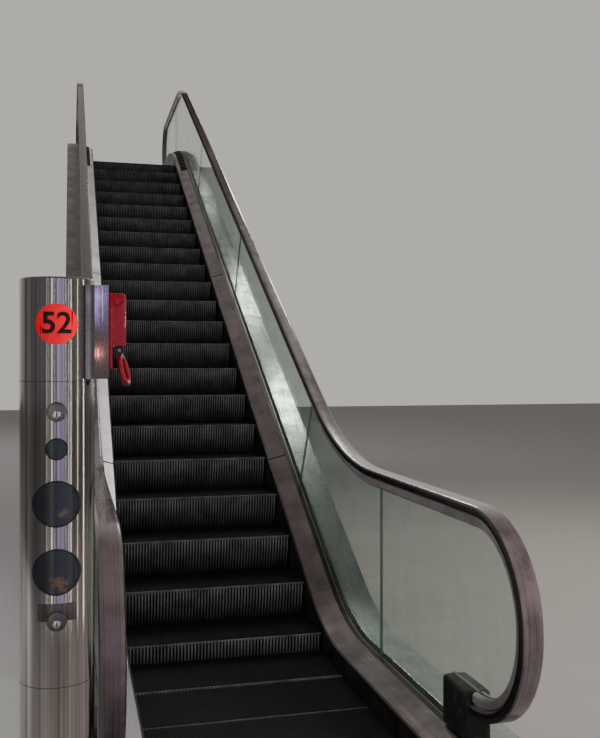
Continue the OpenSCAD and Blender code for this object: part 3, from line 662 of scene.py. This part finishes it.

# Handrails
# Endless handrails of black rubber on a fabric core, C-shaped over the guides, round the newels and back
# through the inlets. Hands polish the crown, whose pale brown-pink tone is a painted reflection of the light
# above, and dust streaks its near-black sides faintly.


def handrail_rubber(name, fresh, worn, coat):
    """Moulded rubber polished by hands: dusty streaks 5 mm wide and dull patches; a crown's pale tone is
    painted reflection.
    """
    made, tree, shader, where = start(name)
    run = add(tree, "Mapping", {"Vector": where, "Scale": (1000 / 5, 1000 / 900, 1.0)})
    streaks = add(tree, "TexNoise", {"Vector": run, "Scale": 1.0, "Detail": 4.0, "Roughness": 0.6})
    patches = add(tree, "TexNoise", {"Vector": where, "Scale": 1000 / 140, "Detail": 6.0, "Roughness": 0.62})
    mixed = add(tree, "MixRGB", {"Fac": 0.5, "Color1": streaks, "Color2": patches})
    tone = add(tree, "MapRange", {"Value": mixed, "From Min": 0.38, "From Max": 0.66})
    colour = add(tree, "MixRGB", {"Fac": tone, "Color1": linear(fresh), "Color2": linear(worn)})
    sheen = add(tree, "MapRange", {"Value": tone, "To Min": 0.2, "To Max": 0.38})
    plug(tree, shader, {"Base Color": colour, "Roughness": sheen, "Specular IOR Level": 0.5,
                        "Coat Weight": coat, "Coat Roughness": 0.22})
    return made


# The crowns' pale brown-pink tone is a painted reflection of the light above; the sides keep the rubber's
# black.
dull_crown_painted_reflection = handrail_rubber("rubber_crown_dust_and_painted_reflection", "#2a2325", "#4b4042", 0.35)
glossy_crown_painted_reflection = handrail_rubber("rubber_crown_polished_with_painted_reflection", "#2a2325", "#54474a", 1.0)
rubber_side = handrail_rubber("rubber_side_left_black", "#070606", "#141112", 0.3)
for side, crown in (("left", dull_crown_painted_reflection), ("right", glossy_crown_painted_reflection)):
    shape = merged("handrail_" + side)
    for face in shape.faces:
        if abs(face.normal.x) > 0.72:
            face.material_index = 1
    piece("rubber_handrail_" + side, shape, [crown, rubber_side],
          ["handrail_" + side], smooth=50)

# Handrail inlets
# Moulded black housings on the outer decks at the newels, each with a ring of bristles round the handrail's
# mouth. Each is a block with a rounded top, and every tuft of bristles is a small cone.
inlet_round = 0.016
inlet_w = 0.100
inlet_l = 0.220
inlet_seat = 0.0703
inlet_up = 0.0803
mouth_up = 0.018
mouth_w = 0.080
mouth_h = 0.048
n_tufts = 26
tuft_r = 0.004
tuft_l = 0.007


def moulded_black():
    """Moulded black ABS with a fine grain 1.2 mm wide, scuffed grey in patches."""
    made, tree, shader, where = start("moulded_black_abs")
    grain = add(tree, "TexNoise", {"Vector": where, "Scale": 1000 / 1.2, "Detail": 2.0})
    scuffs = add(tree, "TexNoise", {"Vector": where, "Scale": 1000 / 40, "Detail": 6.0, "Roughness": 0.7})
    worn = add(tree, "MapRange", {"Value": scuffs, "From Min": 0.5, "From Max": 0.75})
    colour = add(tree, "MixRGB", {"Fac": worn, "Color1": linear("#131212"), "Color2": linear("#37332f")})
    bump = add(tree, "Bump", {"Strength": 0.35, "Distance": 0.0002, "Height": grain}, out="Normal")
    plug(tree, shader, {"Base Color": colour, "Roughness": 0.5, "Normal": bump})
    return made


moulded = moulded_black()
rail_low, rail_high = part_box("handrail_right")
inlet_low, inlet_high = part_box("handrail_inlets")
inlet_z = {"lower": (deck_low.z + inlet_seat, rail_low.z + inlet_up),
           "upper": (deck_high.z + hair_gap, inlet_high.z)}
rail_x = (rail_low.x + rail_high.x) / 2
shape = bmesh.new()
for way in (-1, 1):
    for level, near_y, out in (("lower", inlet_low.y, -1), ("upper", inlet_high.y, 1)):
        z0, z1 = inlet_z[level]
        far_y = near_y - out * inlet_l
        x = way * rail_x
        block = bar(shape, (x - inlet_w / 2, min(near_y, far_y), z0),
                    (x + inlet_w / 2, max(near_y, far_y), z1))
        top = [e for v in block for e in v.link_edges if any(p.co.z > z1 - 0.001 for p in e.verts)]
        ease(shape, top, inlet_round, 4)
        mouth_z = z1 - inlet_up + mouth_up
        for i in range(n_tufts):
            angle = i / n_tufts * 2 * math.pi
            tuft = (x + mouth_w / 2 * math.cos(angle), near_y, mouth_z + mouth_h / 2 * math.sin(angle))
            rod(shape, tuft, tuft_r, tuft_l, (0, out, 0), 6, end_radius=tuft_r / 2)
bmesh.ops.recalc_face_normals(shape, faces=shape.faces)
piece("inlet_housings", shape, [moulded], ["handrail_inlets"])

# Signal post
# A tube of brushed stainless steel on a foot below the floor, in three lengths with fine seams, with round
# lenses flush in its front. The tube is spun with a rounded top edge, and each seam is a ring 1.2 mm wide.
post_low, post_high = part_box("signal_post")
post_x = (post_low.x + post_high.x) / 2
post_y = (post_low.y + post_high.y) / 2
post_r = (post_high.x - post_low.x) / 2
seams = (post_high.z - 0.239, post_high.z - 0.936)
seam_w = 0.0012
seam_deep = 0.002
seam_proud = 0.00015
rim_r = 0.003


def post_finish():
    """Brushed stainless tube with painted reflections: bands 9 mm wide round it, bright and grey, and faint
    violet patches.
    """
    made, tree, shader, where = start("brushed_stainless_tube_with_painted_reflections")
    centred = add(tree, "Mapping", {"Vector": where, "Location": (-post_x, -post_y, 0)})
    apart = add(tree, "SeparateXYZ", {"Vector": centred})
    turn = add(tree, "Math", {0: apart, 1: apart.node.outputs["Y"]}, operation="ARCTAN2")
    around = add(tree, "CombineXYZ", {"X": turn, "Z": apart.node.outputs["Z"]})
    wide_at = add(tree, "Mapping", {"Vector": around, "Scale": (post_r * 1000 / 9, 1.0, 0.5)})
    fine_at = add(tree, "Mapping", {"Vector": around, "Scale": (post_r * 1000 / 1.5, 1.0, 3.0)})
    bands = add(tree, "TexNoise", {"Vector": wide_at, "Scale": 1.0, "Detail": 4.0, "Roughness": 0.6})
    brush = add(tree, "TexNoise", {"Vector": fine_at, "Scale": 1.0, "Detail": 3.0})
    # The bright and grey bands are partly brushing and partly painted reflection; the violet patches are
    # painted reflection.
    tone = add(tree, "MapRange", {"Value": bands, "From Min": 0.36, "From Max": 0.64})
    steel = add(tree, "MixRGB", {"Fac": tone, "Color1": linear("#8d8783"), "Color2": linear("#c6c2c0")})
    violet_reflection_at = add(tree, "Mapping", {"Vector": around, "Scale": (post_r * 1000 / 24, 1.0, 0.3)})
    violet_reflection_noise = add(tree, "TexNoise", {"Vector": violet_reflection_at, "Scale": 1.0, "Detail": 1.0})
    violet = add(tree, "MapRange", {"Value": violet_reflection_noise, "From Min": 0.5, "From Max": 0.7, "To Max": 0.3})
    colour = add(tree, "MixRGB", {"Fac": violet, "Color1": steel, "Color2": linear("#8d84a0")})
    bump = add(tree, "Bump", {"Strength": 0.3, "Distance": 0.00005, "Height": brush}, out="Normal")
    sheen = add(tree, "MapRange", {"Value": brush, "To Min": 0.06, "To Max": 0.15})
    plug(tree, shader, {"Base Color": colour, "Metallic": 1.0, "Roughness": sheen, "Normal": bump})
    return made


post_steel = post_finish()


def spun(shape, points, centre, axis, steps, closed=False):
    """Spins an outline a full turn round an axis. A closed outline makes a ring."""
    chain = [shape.verts.new(point) for point in points]
    ends = chain[1:] + chain[:1] if closed else chain[1:]
    edges = [shape.edges.new(pair) for pair in zip(chain, ends)]
    bmesh.ops.spin(shape, geom=[*chain, *edges], cent=centre, axis=axis, dvec=(0, 0, 0),
                   angle=2 * math.pi, steps=steps, use_merge=True, use_duplicate=False)


shape = bmesh.new()
rim = [(post_r - rim_r + rim_r * math.sin(turn), post_high.z - rim_r + rim_r * math.cos(turn))
       for turn in (math.pi / 2, math.pi / 3, math.pi / 6, 0.0)]
profile = ((0.0, post_high.z), *rim[::-1], (post_r, post_high.z - 2 * rim_r), (post_r, post_low.z),
           (0.0, post_low.z))
spun(shape, [(post_x + r, post_y, z) for r, z in profile], (post_x, post_y, 0), (0, 0, 1), 120)
bmesh.ops.remove_doubles(shape, verts=shape.verts, dist=weld)
bmesh.ops.recalc_face_normals(shape, faces=shape.faces)
piece("post_tube", shape, [post_steel], ["signal_post"], smooth=30)

shape = bmesh.new()
inside, outside = post_x + post_r - seam_deep, post_x + post_r + seam_proud
for z in seams:
    over, under = z + seam_w / 2, z - seam_w / 2
    spun(shape, [(inside, post_y, over), (inside, post_y, under), (outside, post_y, under),
                 (outside, post_y, over)], (post_x, post_y, z), (0, 0, 1), 96, closed=True)
bmesh.ops.recalc_face_normals(shape, faces=shape.faces)
piece("post_seams", shape, [dark_gap_dirt_and_shade])

# Lenses
# Smoked plastic lenses clipped in the post's pockets, flush with its front: two large ones over signal lamps
# and a small one over a sensor. Each has a black gasket, and rust has stained the large ones low down.
lens_low, lens_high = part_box("signal_lenses")
lens_dia = 0.1055
eye_dia = 0.0495
lens_step = 0.155
pocket_d = 0.006
lens_sizes = ((lens_low.z + lens_dia / 2, lens_dia), (lens_low.z + lens_dia / 2 + lens_step, lens_dia),
              (lens_high.z - eye_dia / 2, eye_dia))


def smoked_lens():
    """Smoked polycarbonate: glossy blue-black, with a dusty film and a rusty spot low on each large lens."""
    made, tree, shader, where = start("smoked_polycarbonate_lens")
    film = add(tree, "TexNoise", {"Vector": where, "Scale": 1000 / 12, "Detail": 7.0, "Roughness": 0.7})
    colour = add(tree, "MixRGB", {"Fac": film, "Color1": linear("#090b0e"), "Color2": linear("#1c1f24")})
    for z, across, down, size in ((lens_sizes[0][0], 0.005, 0.029, 0.021),
                                  (lens_sizes[1][0], 0.016, 0.022, 0.011)):
        spot_at = Vector((post_x + across, post_y - post_r, z - down))
        away = add(tree, "VectorMath", {0: where, 1: spot_at}, out="Value", operation="DISTANCE")
        ragged = add(tree, "MapRange", {"Value": film, "From Min": 0.3, "From Max": 0.7, "To Min": -size,
                                        "To Max": size})
        edge = add(tree, "Math", {0: away, 1: ragged}, operation="ADD")
        spot = add(tree, "MapRange", {"Value": edge, "From Min": size, "From Max": size * 0.3, "To Max": 0.8})
        rust = add(tree, "MixRGB", {"Fac": film, "Color1": linear("#21160f"), "Color2": linear("#5c4a36")})
        colour = add(tree, "MixRGB", {"Fac": spot, "Color1": colour, "Color2": rust})
    sheen = add(tree, "MapRange", {"Value": film, "To Min": 0.12, "To Max": 0.34})
    plug(tree, shader, {"Base Color": colour, "Roughness": sheen, "IOR": 1.49})
    return made


def wrap(verts, centre, radius):
    """Bends a flat drawing, x across and y outwards, round a post whose front it then follows."""
    for v in verts:
        angle = v.co.x / radius
        reach = radius + v.co.y
        v.co = (centre[0] + reach * math.sin(angle), centre[1] - reach * math.cos(angle), v.co.z)


smoked = smoked_lens()
shape = bmesh.new()
gasket = ((-0.0035, -0.003), (0.0005, -0.003), (0.0005, 0.0011), (-0.0025, 0.0011))
for z, dia in lens_sizes:
    spun(shape, [(dia / 2 + x, y, z) for x, y in gasket], (0, 0, z), (0, 1, 0), 48, closed=True)
wrap(shape.verts, (post_x, post_y), post_r)
bmesh.ops.recalc_face_normals(shape, faces=shape.faces)
piece("lens_gaskets", shape, [dark_gap_dirt_and_shade])

shape = merged("signal_lenses")
for v in shape.verts:
    out = Vector((v.co.x - post_x, v.co.y - post_y))
    if out.length > post_r - pocket_d:
        out = out.normalized() * (post_r + hair_gap)
        v.co = (post_x + out.x, post_y + out.y, v.co.z)
bmesh.ops.recalc_face_normals(shape, faces=shape.faces)
piece("smoked_lenses", shape, [smoked], ["signal_lenses"], smooth=30)

# Key switches
# Two round locks on the post's front, each a steel collar with a chromed barrel set low in it and a key slot.
# The lower one sits on a thin steel plate. Collar and barrel are profiles spun round their axes.
lock_low, lock_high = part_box("key_switches")
lock_r = 0.020
lock_z = (lock_low.z + lock_r, lock_high.z - lock_r)
collar_r = 0.0225
barrel_drop = 0.005
slot_w = 0.0022
plate_w = 0.087
plate_h = 0.039
plate_thick = 0.0018
front_y = post_y - post_r
collar = ((collar_r, 0.012), (collar_r, -0.003), (collar_r - 0.0015, -0.0045), (0.015, -0.006),
          (0.0, -0.0064))
barrel = ((0.0095, 0.0), (0.0095, -0.0070), (0.0085, -0.0082), (0.005, -0.0092), (0.0, -0.0096))
collar_steel = metal_finish("turned_steel_lock_collar", "#8a8480", "#56514e", 3, 3, 0.3)
plate_steel = metal_finish("dirty_steel_lock_plate", "#8a8480", "#35302e", 5, 5, 0.36)
chrome = metal_finish("chromed_lock_barrel", "#e4e2e0", "#b1aeab", 4, 4, 0.08)


def lock_parts(profile, drop):
    """One part of both locks, from its radii and depths, spun round a level axis below the lock's middle."""
    shape = bmesh.new()
    for z in lock_z:
        spun(shape, [(post_x + r, front_y + y, z - drop) for r, y in profile], (post_x, front_y, z - drop),
             (0, 1, 0), 32)
    bmesh.ops.remove_doubles(shape, verts=shape.verts, dist=weld)
    bmesh.ops.holes_fill(shape, edges=shape.edges, sides=40)
    return shape


shape = lock_parts(collar, 0.0)
bmesh.ops.recalc_face_normals(shape, faces=shape.faces)
piece("key_lock_collars", shape, [collar_steel], ["key_switches"], smooth=25)

shape = lock_parts(barrel, barrel_drop)
# Each key slot is a dark bar in the barrel's front: painted shade standing in for the slot's opening.
for z in lock_z:
    bar(shape, (post_x - slot_w / 2, front_y - 0.0102, z - barrel_drop - 0.006),
        (post_x + slot_w / 2, front_y - 0.0080, z - barrel_drop + 0.004), 1)
bmesh.ops.recalc_face_normals(shape, faces=shape.faces)
piece("key_lock_barrels", shape, [chrome, dark_gap_dirt_and_shade], smooth=25)

shape = bmesh.new()
bmesh.ops.create_grid(shape, x_segments=12, y_segments=1, size=0.5,
                      matrix=Matrix.Translation((0, 0.0006, lock_z[0] + plate_h / 2))
                      @ Matrix.Rotation(math.pi / 2, 4, "X") @ Matrix.Diagonal((plate_w, plate_h, 1, 1)))
thick = bmesh.ops.extrude_face_region(shape, geom=list(shape.faces))["geom"]
top = [g for g in thick if isinstance(g, bmesh.types.BMVert)]
bmesh.ops.translate(shape, verts=top, vec=(0, plate_thick, 0))
wrap(shape.verts, (post_x, post_y), post_r)
bmesh.ops.recalc_face_normals(shape, faces=shape.faces)
sheet = piece("key_lock_plate", shape, [plate_steel], smooth=25)
rounded(sheet, 0.0006, 2)

# Number disc
# A red enamelled disc with a plain black number, riveted flat round the post. The number is cut from text and
# bent round with the disc.
disc_low, disc_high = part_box("number_disc")
disc_z = (disc_low.z + disc_high.z) / 2
digit_h = 0.0475
digit_t = 0.001
digit_bold = 0.0011
bend_step = 0.004


def enamel(name, colour, deep, rough):
    """Stove enamel: a glossy coat with slight waves 15 mm wide and dull rubbed spots."""
    made, tree, shader, where = start(name)
    spots = add(tree, "TexNoise", {"Vector": where, "Scale": 1000 / 15, "Detail": 6.0, "Roughness": 0.65})
    tone = add(tree, "MapRange", {"Value": spots, "From Min": 0.4, "From Max": 0.7})
    mixed = add(tree, "MixRGB", {"Fac": tone, "Color1": linear(colour), "Color2": linear(deep)})
    sheen = add(tree, "MapRange", {"Value": spots, "To Min": rough - 0.08, "To Max": rough + 0.12})
    plug(tree, shader, {"Base Color": mixed, "Roughness": sheen, "Specular IOR Level": 0.35})
    return made


red_enamel = enamel("red_stove_enamel", "#bb0016", "#a60012", 0.45)
black_enamel = enamel("black_stove_enamel", "#050404", "#0e0c0c", 0.45)
disc = piece("red_disc_plate", merged("number_disc"), [red_enamel], ["number_disc"], smooth=30)
rounded(disc, 0.0005)

words = bpy.data.curves.new("number", "FONT")
words.body = "52"
words.align_x = "CENTER"
words.align_y = "CENTER"
words.size = digit_h / 0.70
words.offset = digit_bold
words.extrude = digit_t / 2
holder = bpy.data.objects.new("number", words)
bpy.context.scene.collection.objects.link(holder)
bpy.context.view_layer.update()
flat = bpy.data.meshes.new_from_object(holder.evaluated_get(bpy.context.evaluated_depsgraph_get()))
bpy.data.objects.remove(holder)
shape = bmesh.new()
shape.from_mesh(flat)
bmesh.ops.remove_doubles(shape, verts=shape.verts, dist=weld)
for i in range(-11, 12):
    cut(shape, (i * bend_step, 0, 0), (1, 0, 0), weld)
bmesh.ops.transform(shape, verts=shape.verts, matrix=Matrix.Translation((0, 0.0019, disc_z))
                    @ Matrix.Rotation(math.pi / 2, 4, "X"))
wrap(shape.verts, (post_x, post_y), post_r)
bmesh.ops.recalc_face_normals(shape, faces=shape.faces)
piece("number_digits", shape, [black_enamel], smooth=30)

# Stop switch box
# A folded stainless steel box welded to the post's right side, which carries the red stop switch. Its front
# has one fold, left of which it leans back. Its edges are rounded, and two screws hold its front.
side_low, side_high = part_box("stop_side_box")
fold_x = side_high.x - 0.036
fold_lean = math.radians(13)
box_screw_x = side_low.x + 0.044
box_screw_in = 0.014
box_screw_r = 0.0022
box_r = 0.005
box_steel = metal_finish("brushed_stainless_box", "#b5afb2", "#8d878a", 3, 700, 0.08)
shape = merged("stop_side_box")
for beside in (0.0045, 0.0015, -0.0015, -0.0045):
    cut(shape, (fold_x + beside, 0, 0), (1, 0, 0))
for vert in shape.verts:
    if vert.co.x < fold_x - 0.001 and vert.co.y < side_low.y + 0.0001:
        vert.co.y += (fold_x - vert.co.x) * math.tan(fold_lean)
shape.normal_update()
for z in (side_low.z + box_screw_in, side_high.z - box_screw_in):
    screw(shape, (box_screw_x, side_low.y, z), (0, -1, 0), box_screw_r, 1)
box = piece("side_box_sheet", shape, [box_steel, screw_steel], ["stop_side_box"])
rounded(box, box_r, 4)

# Stop switch
# A red painted cast housing on a red back plate, with a round lock near its top, ears for the loop's pin and
# paint worn to bare metal at the outer edge. The housing is a bar with one large round corner.
stop_low, stop_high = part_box("stop_box")
plate_t = 0.009
plate_r = 0.0015
house_z = stop_high.z - 0.124
house_in = 0.003
house_r = 0.0018
corner_r = 0.012
ear_in = 0.012
ear_t = 0.010
ear_r = 0.006
ear_round = 0.004
cap_r = 0.0085
cap_t = 0.003
pin = Vector(frame["joints"][0]["pos_m"])


def red_paint():
    """Glossy red paint on a casting, worn to pale metal in flecks 4 mm wide near the housing's outer edge."""
    made, tree, shader, where = start("red_gloss_paint_worn")
    mottle = add(tree, "TexNoise", {"Vector": where, "Scale": 1000 / 16, "Detail": 5.0})
    paint = add(tree, "MixRGB", {"Fac": mottle, "Color1": linear("#4a020b"), "Color2": linear("#680410")})
    flecks = add(tree, "TexNoise", {"Vector": where, "Scale": 1000 / 4, "Detail": 5.0, "Roughness": 0.7})
    apart = add(tree, "SeparateXYZ", {"Vector": where})
    edge = add(tree, "MapRange", {"Value": apart, "From Min": stop_high.x - 0.020, "From Max": stop_high.x})
    upright = apart.node.outputs["Z"]
    height = add(tree, "Math", {0: upright, 1: house_z + 0.062, 2: 0.020}, operation="COMPARE")
    near = add(tree, "Math", {0: edge, 1: height}, operation="MULTIPLY")
    bare = add(tree, "Math", {0: near, 1: flecks}, operation="MULTIPLY")
    worn = add(tree, "MapRange", {"Value": bare, "From Min": 0.50, "From Max": 0.54})
    colour = add(tree, "MixRGB", {"Fac": worn, "Color1": paint, "Color2": linear("#a59c98")})
    sheen = add(tree, "MapRange", {"Value": mottle, "To Min": 0.2, "To Max": 0.38})
    plug(tree, shader, {"Base Color": colour, "Roughness": sheen, "Specular IOR Level": 0.4,
                        "Coat Weight": 0.2, "Coat Roughness": 0.12})
    return made


red_gloss = red_paint()
shape = bmesh.new()
stop_y = (stop_low.y + stop_high.y) / 2
plate = bar(shape, (stop_low.x, stop_low.y, stop_low.z), (stop_low.x + plate_t, stop_high.y, stop_high.z))
ease(shape, [e for v in plate for e in v.link_edges], plate_r)
x0, x1 = stop_low.x + plate_t - 0.001, stop_high.x
house = bar(shape, (x0, stop_low.y + house_in, house_z), (x1, stop_high.y - house_in, stop_high.z))
corner = [e for v in house for e in v.link_edges
          if all(p.co.x > x1 - 0.0001 and p.co.z > stop_high.z - 0.0001 for p in e.verts)]
ease(shape, corner, corner_r, 6)
faces = [f for f in shape.faces if abs(f.normal.y) > 0.9 and f.calc_center_median().x > x0 + 0.008]
ease(shape, [e for f in faces for e in f.edges], house_r)
for y in (stop_y - ear_in - ear_t, stop_y + ear_in):
    ear = bar(shape, (pin.x - ear_r, y, pin.z - ear_r), (pin.x + ear_r, y + ear_t, house_z + 0.001), 1)
    under = [e for v in ear for e in v.link_edges if all(p.co.z < pin.z - 0.004 for p in e.verts)
             and abs(e.verts[0].co.y - e.verts[1].co.y) > 0.001]
    ease(shape, under, ear_round, 4)
lock_at = (x0 + 0.013, stop_low.y + house_in, stop_high.z - 0.020)
rod(shape, lock_at, cap_r, cap_t, (0, -1, 0), 28, 0, cap_r - 0.0007)
rod(shape, (lock_at[0] + 0.0055, lock_at[1] - cap_t, lock_at[2] - 0.001), 0.002, 0.0006, (0, -1, 0), 10, 1)
bar(shape, (lock_at[0] + 0.009, lock_at[1] - 0.0004, lock_at[2] - 0.010),
    (lock_at[0] + 0.0098, lock_at[1] + 0.001, lock_at[2] + 0.006), 1)
bmesh.ops.recalc_face_normals(shape, faces=shape.faces)
piece("stop_switch_housing", shape, [red_gloss, moulded], ["stop_box"])

# Loop handle
# A red painted ring on a hub, which hangs from a steel pin in the housing's ears and is pulled outwards to
# stop the steps. The ring is a rounded section spun round, and the whole is tilted as it hangs.
loop_r = 0.040
bar_w = 0.013
hub_w = 0.020
hub_h = 0.016
hub_top = 0.004
hub_r = 0.002
pin_r = 0.004
pin_l = 0.046
loop_tilt = math.radians(14)
loop_twist = math.radians(14)
loop_up = 0.008
shape = bmesh.new()
bmesh.ops.create_circle(shape, cap_ends=False, segments=16, radius=bar_w / 2,
                        matrix=Matrix.Translation((0, loop_r - bar_w / 2, 0)))
bmesh.ops.spin(shape, geom=[*shape.verts, *shape.edges], cent=(0, 0, 0), axis=(1, 0, 0), dvec=(0, 0, 0),
               angle=2 * math.pi, steps=48, use_merge=True, use_duplicate=False)
bmesh.ops.remove_doubles(shape, verts=shape.verts, dist=weld)
bmesh.ops.transform(shape, verts=shape.verts, matrix=Matrix.Translation((0, 0, loop_up - hub_h - loop_r))
                    @ Matrix.Rotation(-loop_twist, 4, "Z"))
hub = bar(shape, (-hub_w / 4, -hub_w / 2, hub_top - hub_h), (hub_w / 4, hub_w / 2, hub_top))
ease(shape, [e for v in hub for e in v.link_edges], hub_r)
hub_verts = [v for v in shape.verts if v.co.z > 0.0045 - hub_h and abs(v.co.y) < 0.011]
for face in {f for v in hub_verts for f in v.link_faces}:
    face.material_index = 2 if all(v.co.z > 0.002 - hub_h for v in face.verts) else 0
rod(shape, (0, -pin_l / 2, 0), pin_r, pin_l, (0, 1, 0), 20, 1)
bmesh.ops.transform(shape, verts=shape.verts, matrix=Matrix.Translation(pin)
                    @ Matrix.Rotation(-loop_tilt, 4, "Y"))
bmesh.ops.recalc_face_normals(shape, faces=shape.faces)
piece("loop_and_pin", shape, [red_gloss, screw_steel, moulded], ["stop_handle"],
      body="stop_handle", smooth=40)

# Floor
# A plain pale studio floor, level with the lower floor plate. It is open where the escalator goes down into
# its pit, and six sheets lie round that opening.
landing_low, landing_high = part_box("lower_floor_plate")
floor_z = landing_high.z
side_x = deck_high.x
plate_x = landing_high.x
base_y = deck_low.y
start_y = landing_low.y
pit_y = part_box("lower_landing_frame")[1].y
far = 30.0


def studio_floor():
    """A matt pale studio floor with a very faint mottle 300 mm wide."""
    made, tree, shader, where = start("matt_pale_floor")
    mottle = add(tree, "TexNoise", {"Vector": where, "Scale": 1000 / 300, "Detail": 3.0})
    colour = add(tree, "MixRGB", {"Fac": mottle, "Color1": linear("#a3a09d"), "Color2": linear("#aba8a5")})
    plug(tree, shader, {"Base Color": colour, "Roughness": 0.7})
    return made


shape = bmesh.new()
for x0, y0, x1, y1 in ((-far, -far, -side_x, far), (side_x, -far, far, far),
                       (-side_x, -far, side_x, start_y), (-side_x, start_y, -plate_x, base_y),
                       (plate_x, start_y, side_x, base_y), (-side_x, pit_y, side_x, far)):
    bmesh.ops.create_grid(shape, x_segments=1, y_segments=1, size=0.5,
                          matrix=Matrix.Translation(((x0 + x1) / 2, (y0 + y1) / 2, floor_z))
                          @ Matrix.Diagonal((x1 - x0, y1 - y0, 1, 1)))
mesh = bpy.data.meshes.new("studio_floor")
shape.to_mesh(mesh)
shape.free()
mesh.materials.append(studio_floor())
ground = bpy.data.objects.new("studio_floor", mesh)
bpy.context.scene.collection.objects.link(ground)

# Light
# Soft studio lights over, beside, before and behind the escalator, and small ones close above the right outer
# deck, the steps and the slope. Three shine on the clad truss alone and three on the side box alone. Tall
# panels before the post put upright streaks on it, and light neither the floor nor the side box.
spared = bpy.data.collections.new("all_but_floor_and_side_box")
for unlit in (ground, box):
    spared.objects.link(unlit)
for entry in spared.collection_objects:
    entry.light_linking.link_state = "EXCLUDE"
side_box = bpy.data.collections.new("side_box_alone")
side_box.objects.link(box)
shell = bpy.data.collections.new("truss_panels")
for name in ("cladding_left", "cladding_right", "soffit_sheets", "end_sheets"):
    shell.objects.link(bpy.data.objects[name])


def lamp(name, at, to, size, watts, colour="#ffffff", mirrored=True, lit=None):
    """Adds a soft rectangular light aimed at a point. It can stay out of reflections or light one group."""
    data = bpy.data.lights.new(name, "AREA")
    data.shape = "RECTANGLE"
    data.size, data.size_y = size
    data.energy = watts
    data.color = linear(colour)[:3]
    light = bpy.data.objects.new(name, data)
    light.location = at
    light.rotation_euler = (Vector(to) - Vector(at)).to_track_quat("-Z", "Y").to_euler()
    light.visible_glossy = mirrored
    light.light_linking.receiver_collection = lit
    bpy.context.scene.collection.objects.link(light)


lamp("over_landing", (1.0, -0.5, 5.0), (0.2, 3, 0.6), (2.0, 2.0), 150, "#fff4ec", False)
lamp("fill_left", (-5.0, 1.0, 3.0), (0, 3, 1.5), (2.0, 4.0), 180, "#f2f5ff", False)
lamp("fill_right", (5.5, 3.0, 4.0), (0, 4, 1.5), (2.0, 4.0), 140, "#fff1e6", False)
lamp("behind_landing", (-4.5, 15.5, 9.0), (0, 8.5, 2.5), (4.0, 3.0), 380, "#f4f6ff", False)
lamp("low_front", (0.7, -1.7, 2.1), (0.1, 2.4, 0.5), (0.5, 0.5), 130, "#ffffff", False, spared)
lamp("beside_left", (-7.0, 7.0, 5.0), (-0.8, 7.0, 2.2), (3.0, 10.0), 260, "#f4f6ff", True, shell)
lamp("beside_right", (7.0, 7.0, 5.0), (0.8, 7.0, 2.2), (3.0, 10.0), 220, "#fff6ee", True, shell)
lamp("beyond_top", (-1.5, 18.5, 5.5), (0, 12.9, 3.6), (4.0, 3.0), 90, "#f4f6ff", True, shell)
lamp("above_outer_deck", (1.5, 6.5, 4.6), (0.8, 5.2, 1.4), (0.9, 7.0), 6, "#f4fbf8")
lamp("above_steps", (0.2, 7.5, 5.0), (0.2, 8.9, 2.6), (1.4, 9.0), 4.5, "#f2e6e4")
for i, (at, watts) in enumerate((((1.32, 5.66, 3.43), 15), ((1.21, 7.40, 4.16), 15), ((1.10, 10.4, 6.2), 6))):
    lamp(f"over_slope_{i}", at, (0.74, at[1] - 1.25, at[2] - 2.1), (0.4, 0.4), watts, "#fffaf2")
# What the side box mirrors: a violet glow high up and a small pink one lower down
lamp("box_violet", (-0.582, -4.5, 2.03), (-0.715, 0.3, 1.7), (0.09, 0.26), 0.26, "#c9b2ff", True, side_box)
lamp("box_pink", (-0.585, -4.5, 1.65), (-0.715, 0.3, 1.58), (0.06, 0.06), 0.07, "#ff9a90", True, side_box)
lamp("box_fold", (-2.0, -2.45, 1.75), (-0.74, 0.27, 1.63), (0.03, 0.7), 0.06, "#f0ecf2", True, side_box)
# Each panel in front of the post: angle round it, width, brightness and colour
panel_away = 3.2
panel_z = 1.3
for i, (angle, width, watts, colour) in enumerate(((-30, 0.06, 0.7, "#ffffff"), (-23.5, 0.05, 0.5, "#ffffff"),
                                                   (-15, 0.26, 4.2, "#ffffff"), (-6, 0.05, 0.8, "#ffffff"),
                                                   (11, 1.3, 6.5, "#cfc0ff"), (27, 0.035, 1.6, "#ffffff"),
                                                   (35, 0.035, 1.6, "#ffffff"), (43, 0.04, 2.6, "#ffffff"),
                                                   (65, 0.05, 3, "#fff6e8"), (88, 0.08, 5, "#fff6e8"))):
    turn = math.radians(angle)
    at = (post_x + panel_away * math.sin(turn), post_y - panel_away * math.cos(turn), panel_z)
    lamp(f"post_panel_{i}", at, (post_x, post_y, panel_z), (width, 2.4), watts, colour, True, spared)

world = bpy.data.worlds.new("studio")
world.use_nodes = True
room = world.node_tree
ray = add(room, "TexCoord", {}, out="Generated")
ahead = add(room, "SeparateXYZ", {"Vector": ray}, out="Y")
glow = add(room, "MapRange", {"Value": ahead, "From Min": 0.4, "From Max": 0.72, "To Min": 0.24,
                              "To Max": 0.8})
plug(room, room.nodes["Background"], {"Color": linear("#d9d5d0"), "Strength": glow})
bpy.context.scene.world = world

# Camera
# The camera stands level before the lower landing, at the photograph's viewing angle. Its shift of 3 pixels
# of the picture's 738 sets the framing.
lens = bpy.data.cameras.new("camera")
lens.lens = 43.7
lens.sensor_width = 36
lens.sensor_fit = "AUTO"
lens.shift_y = -3 / 738
lens.clip_start = 0.05
camera = bpy.data.objects.new("camera", lens)
camera.location = (-0.774, -1.824, 1.552)
camera.rotation_euler = (math.radians(90), 0, math.radians(-14.35))
bpy.context.scene.collection.objects.link(camera)
bpy.context.scene.camera = camera
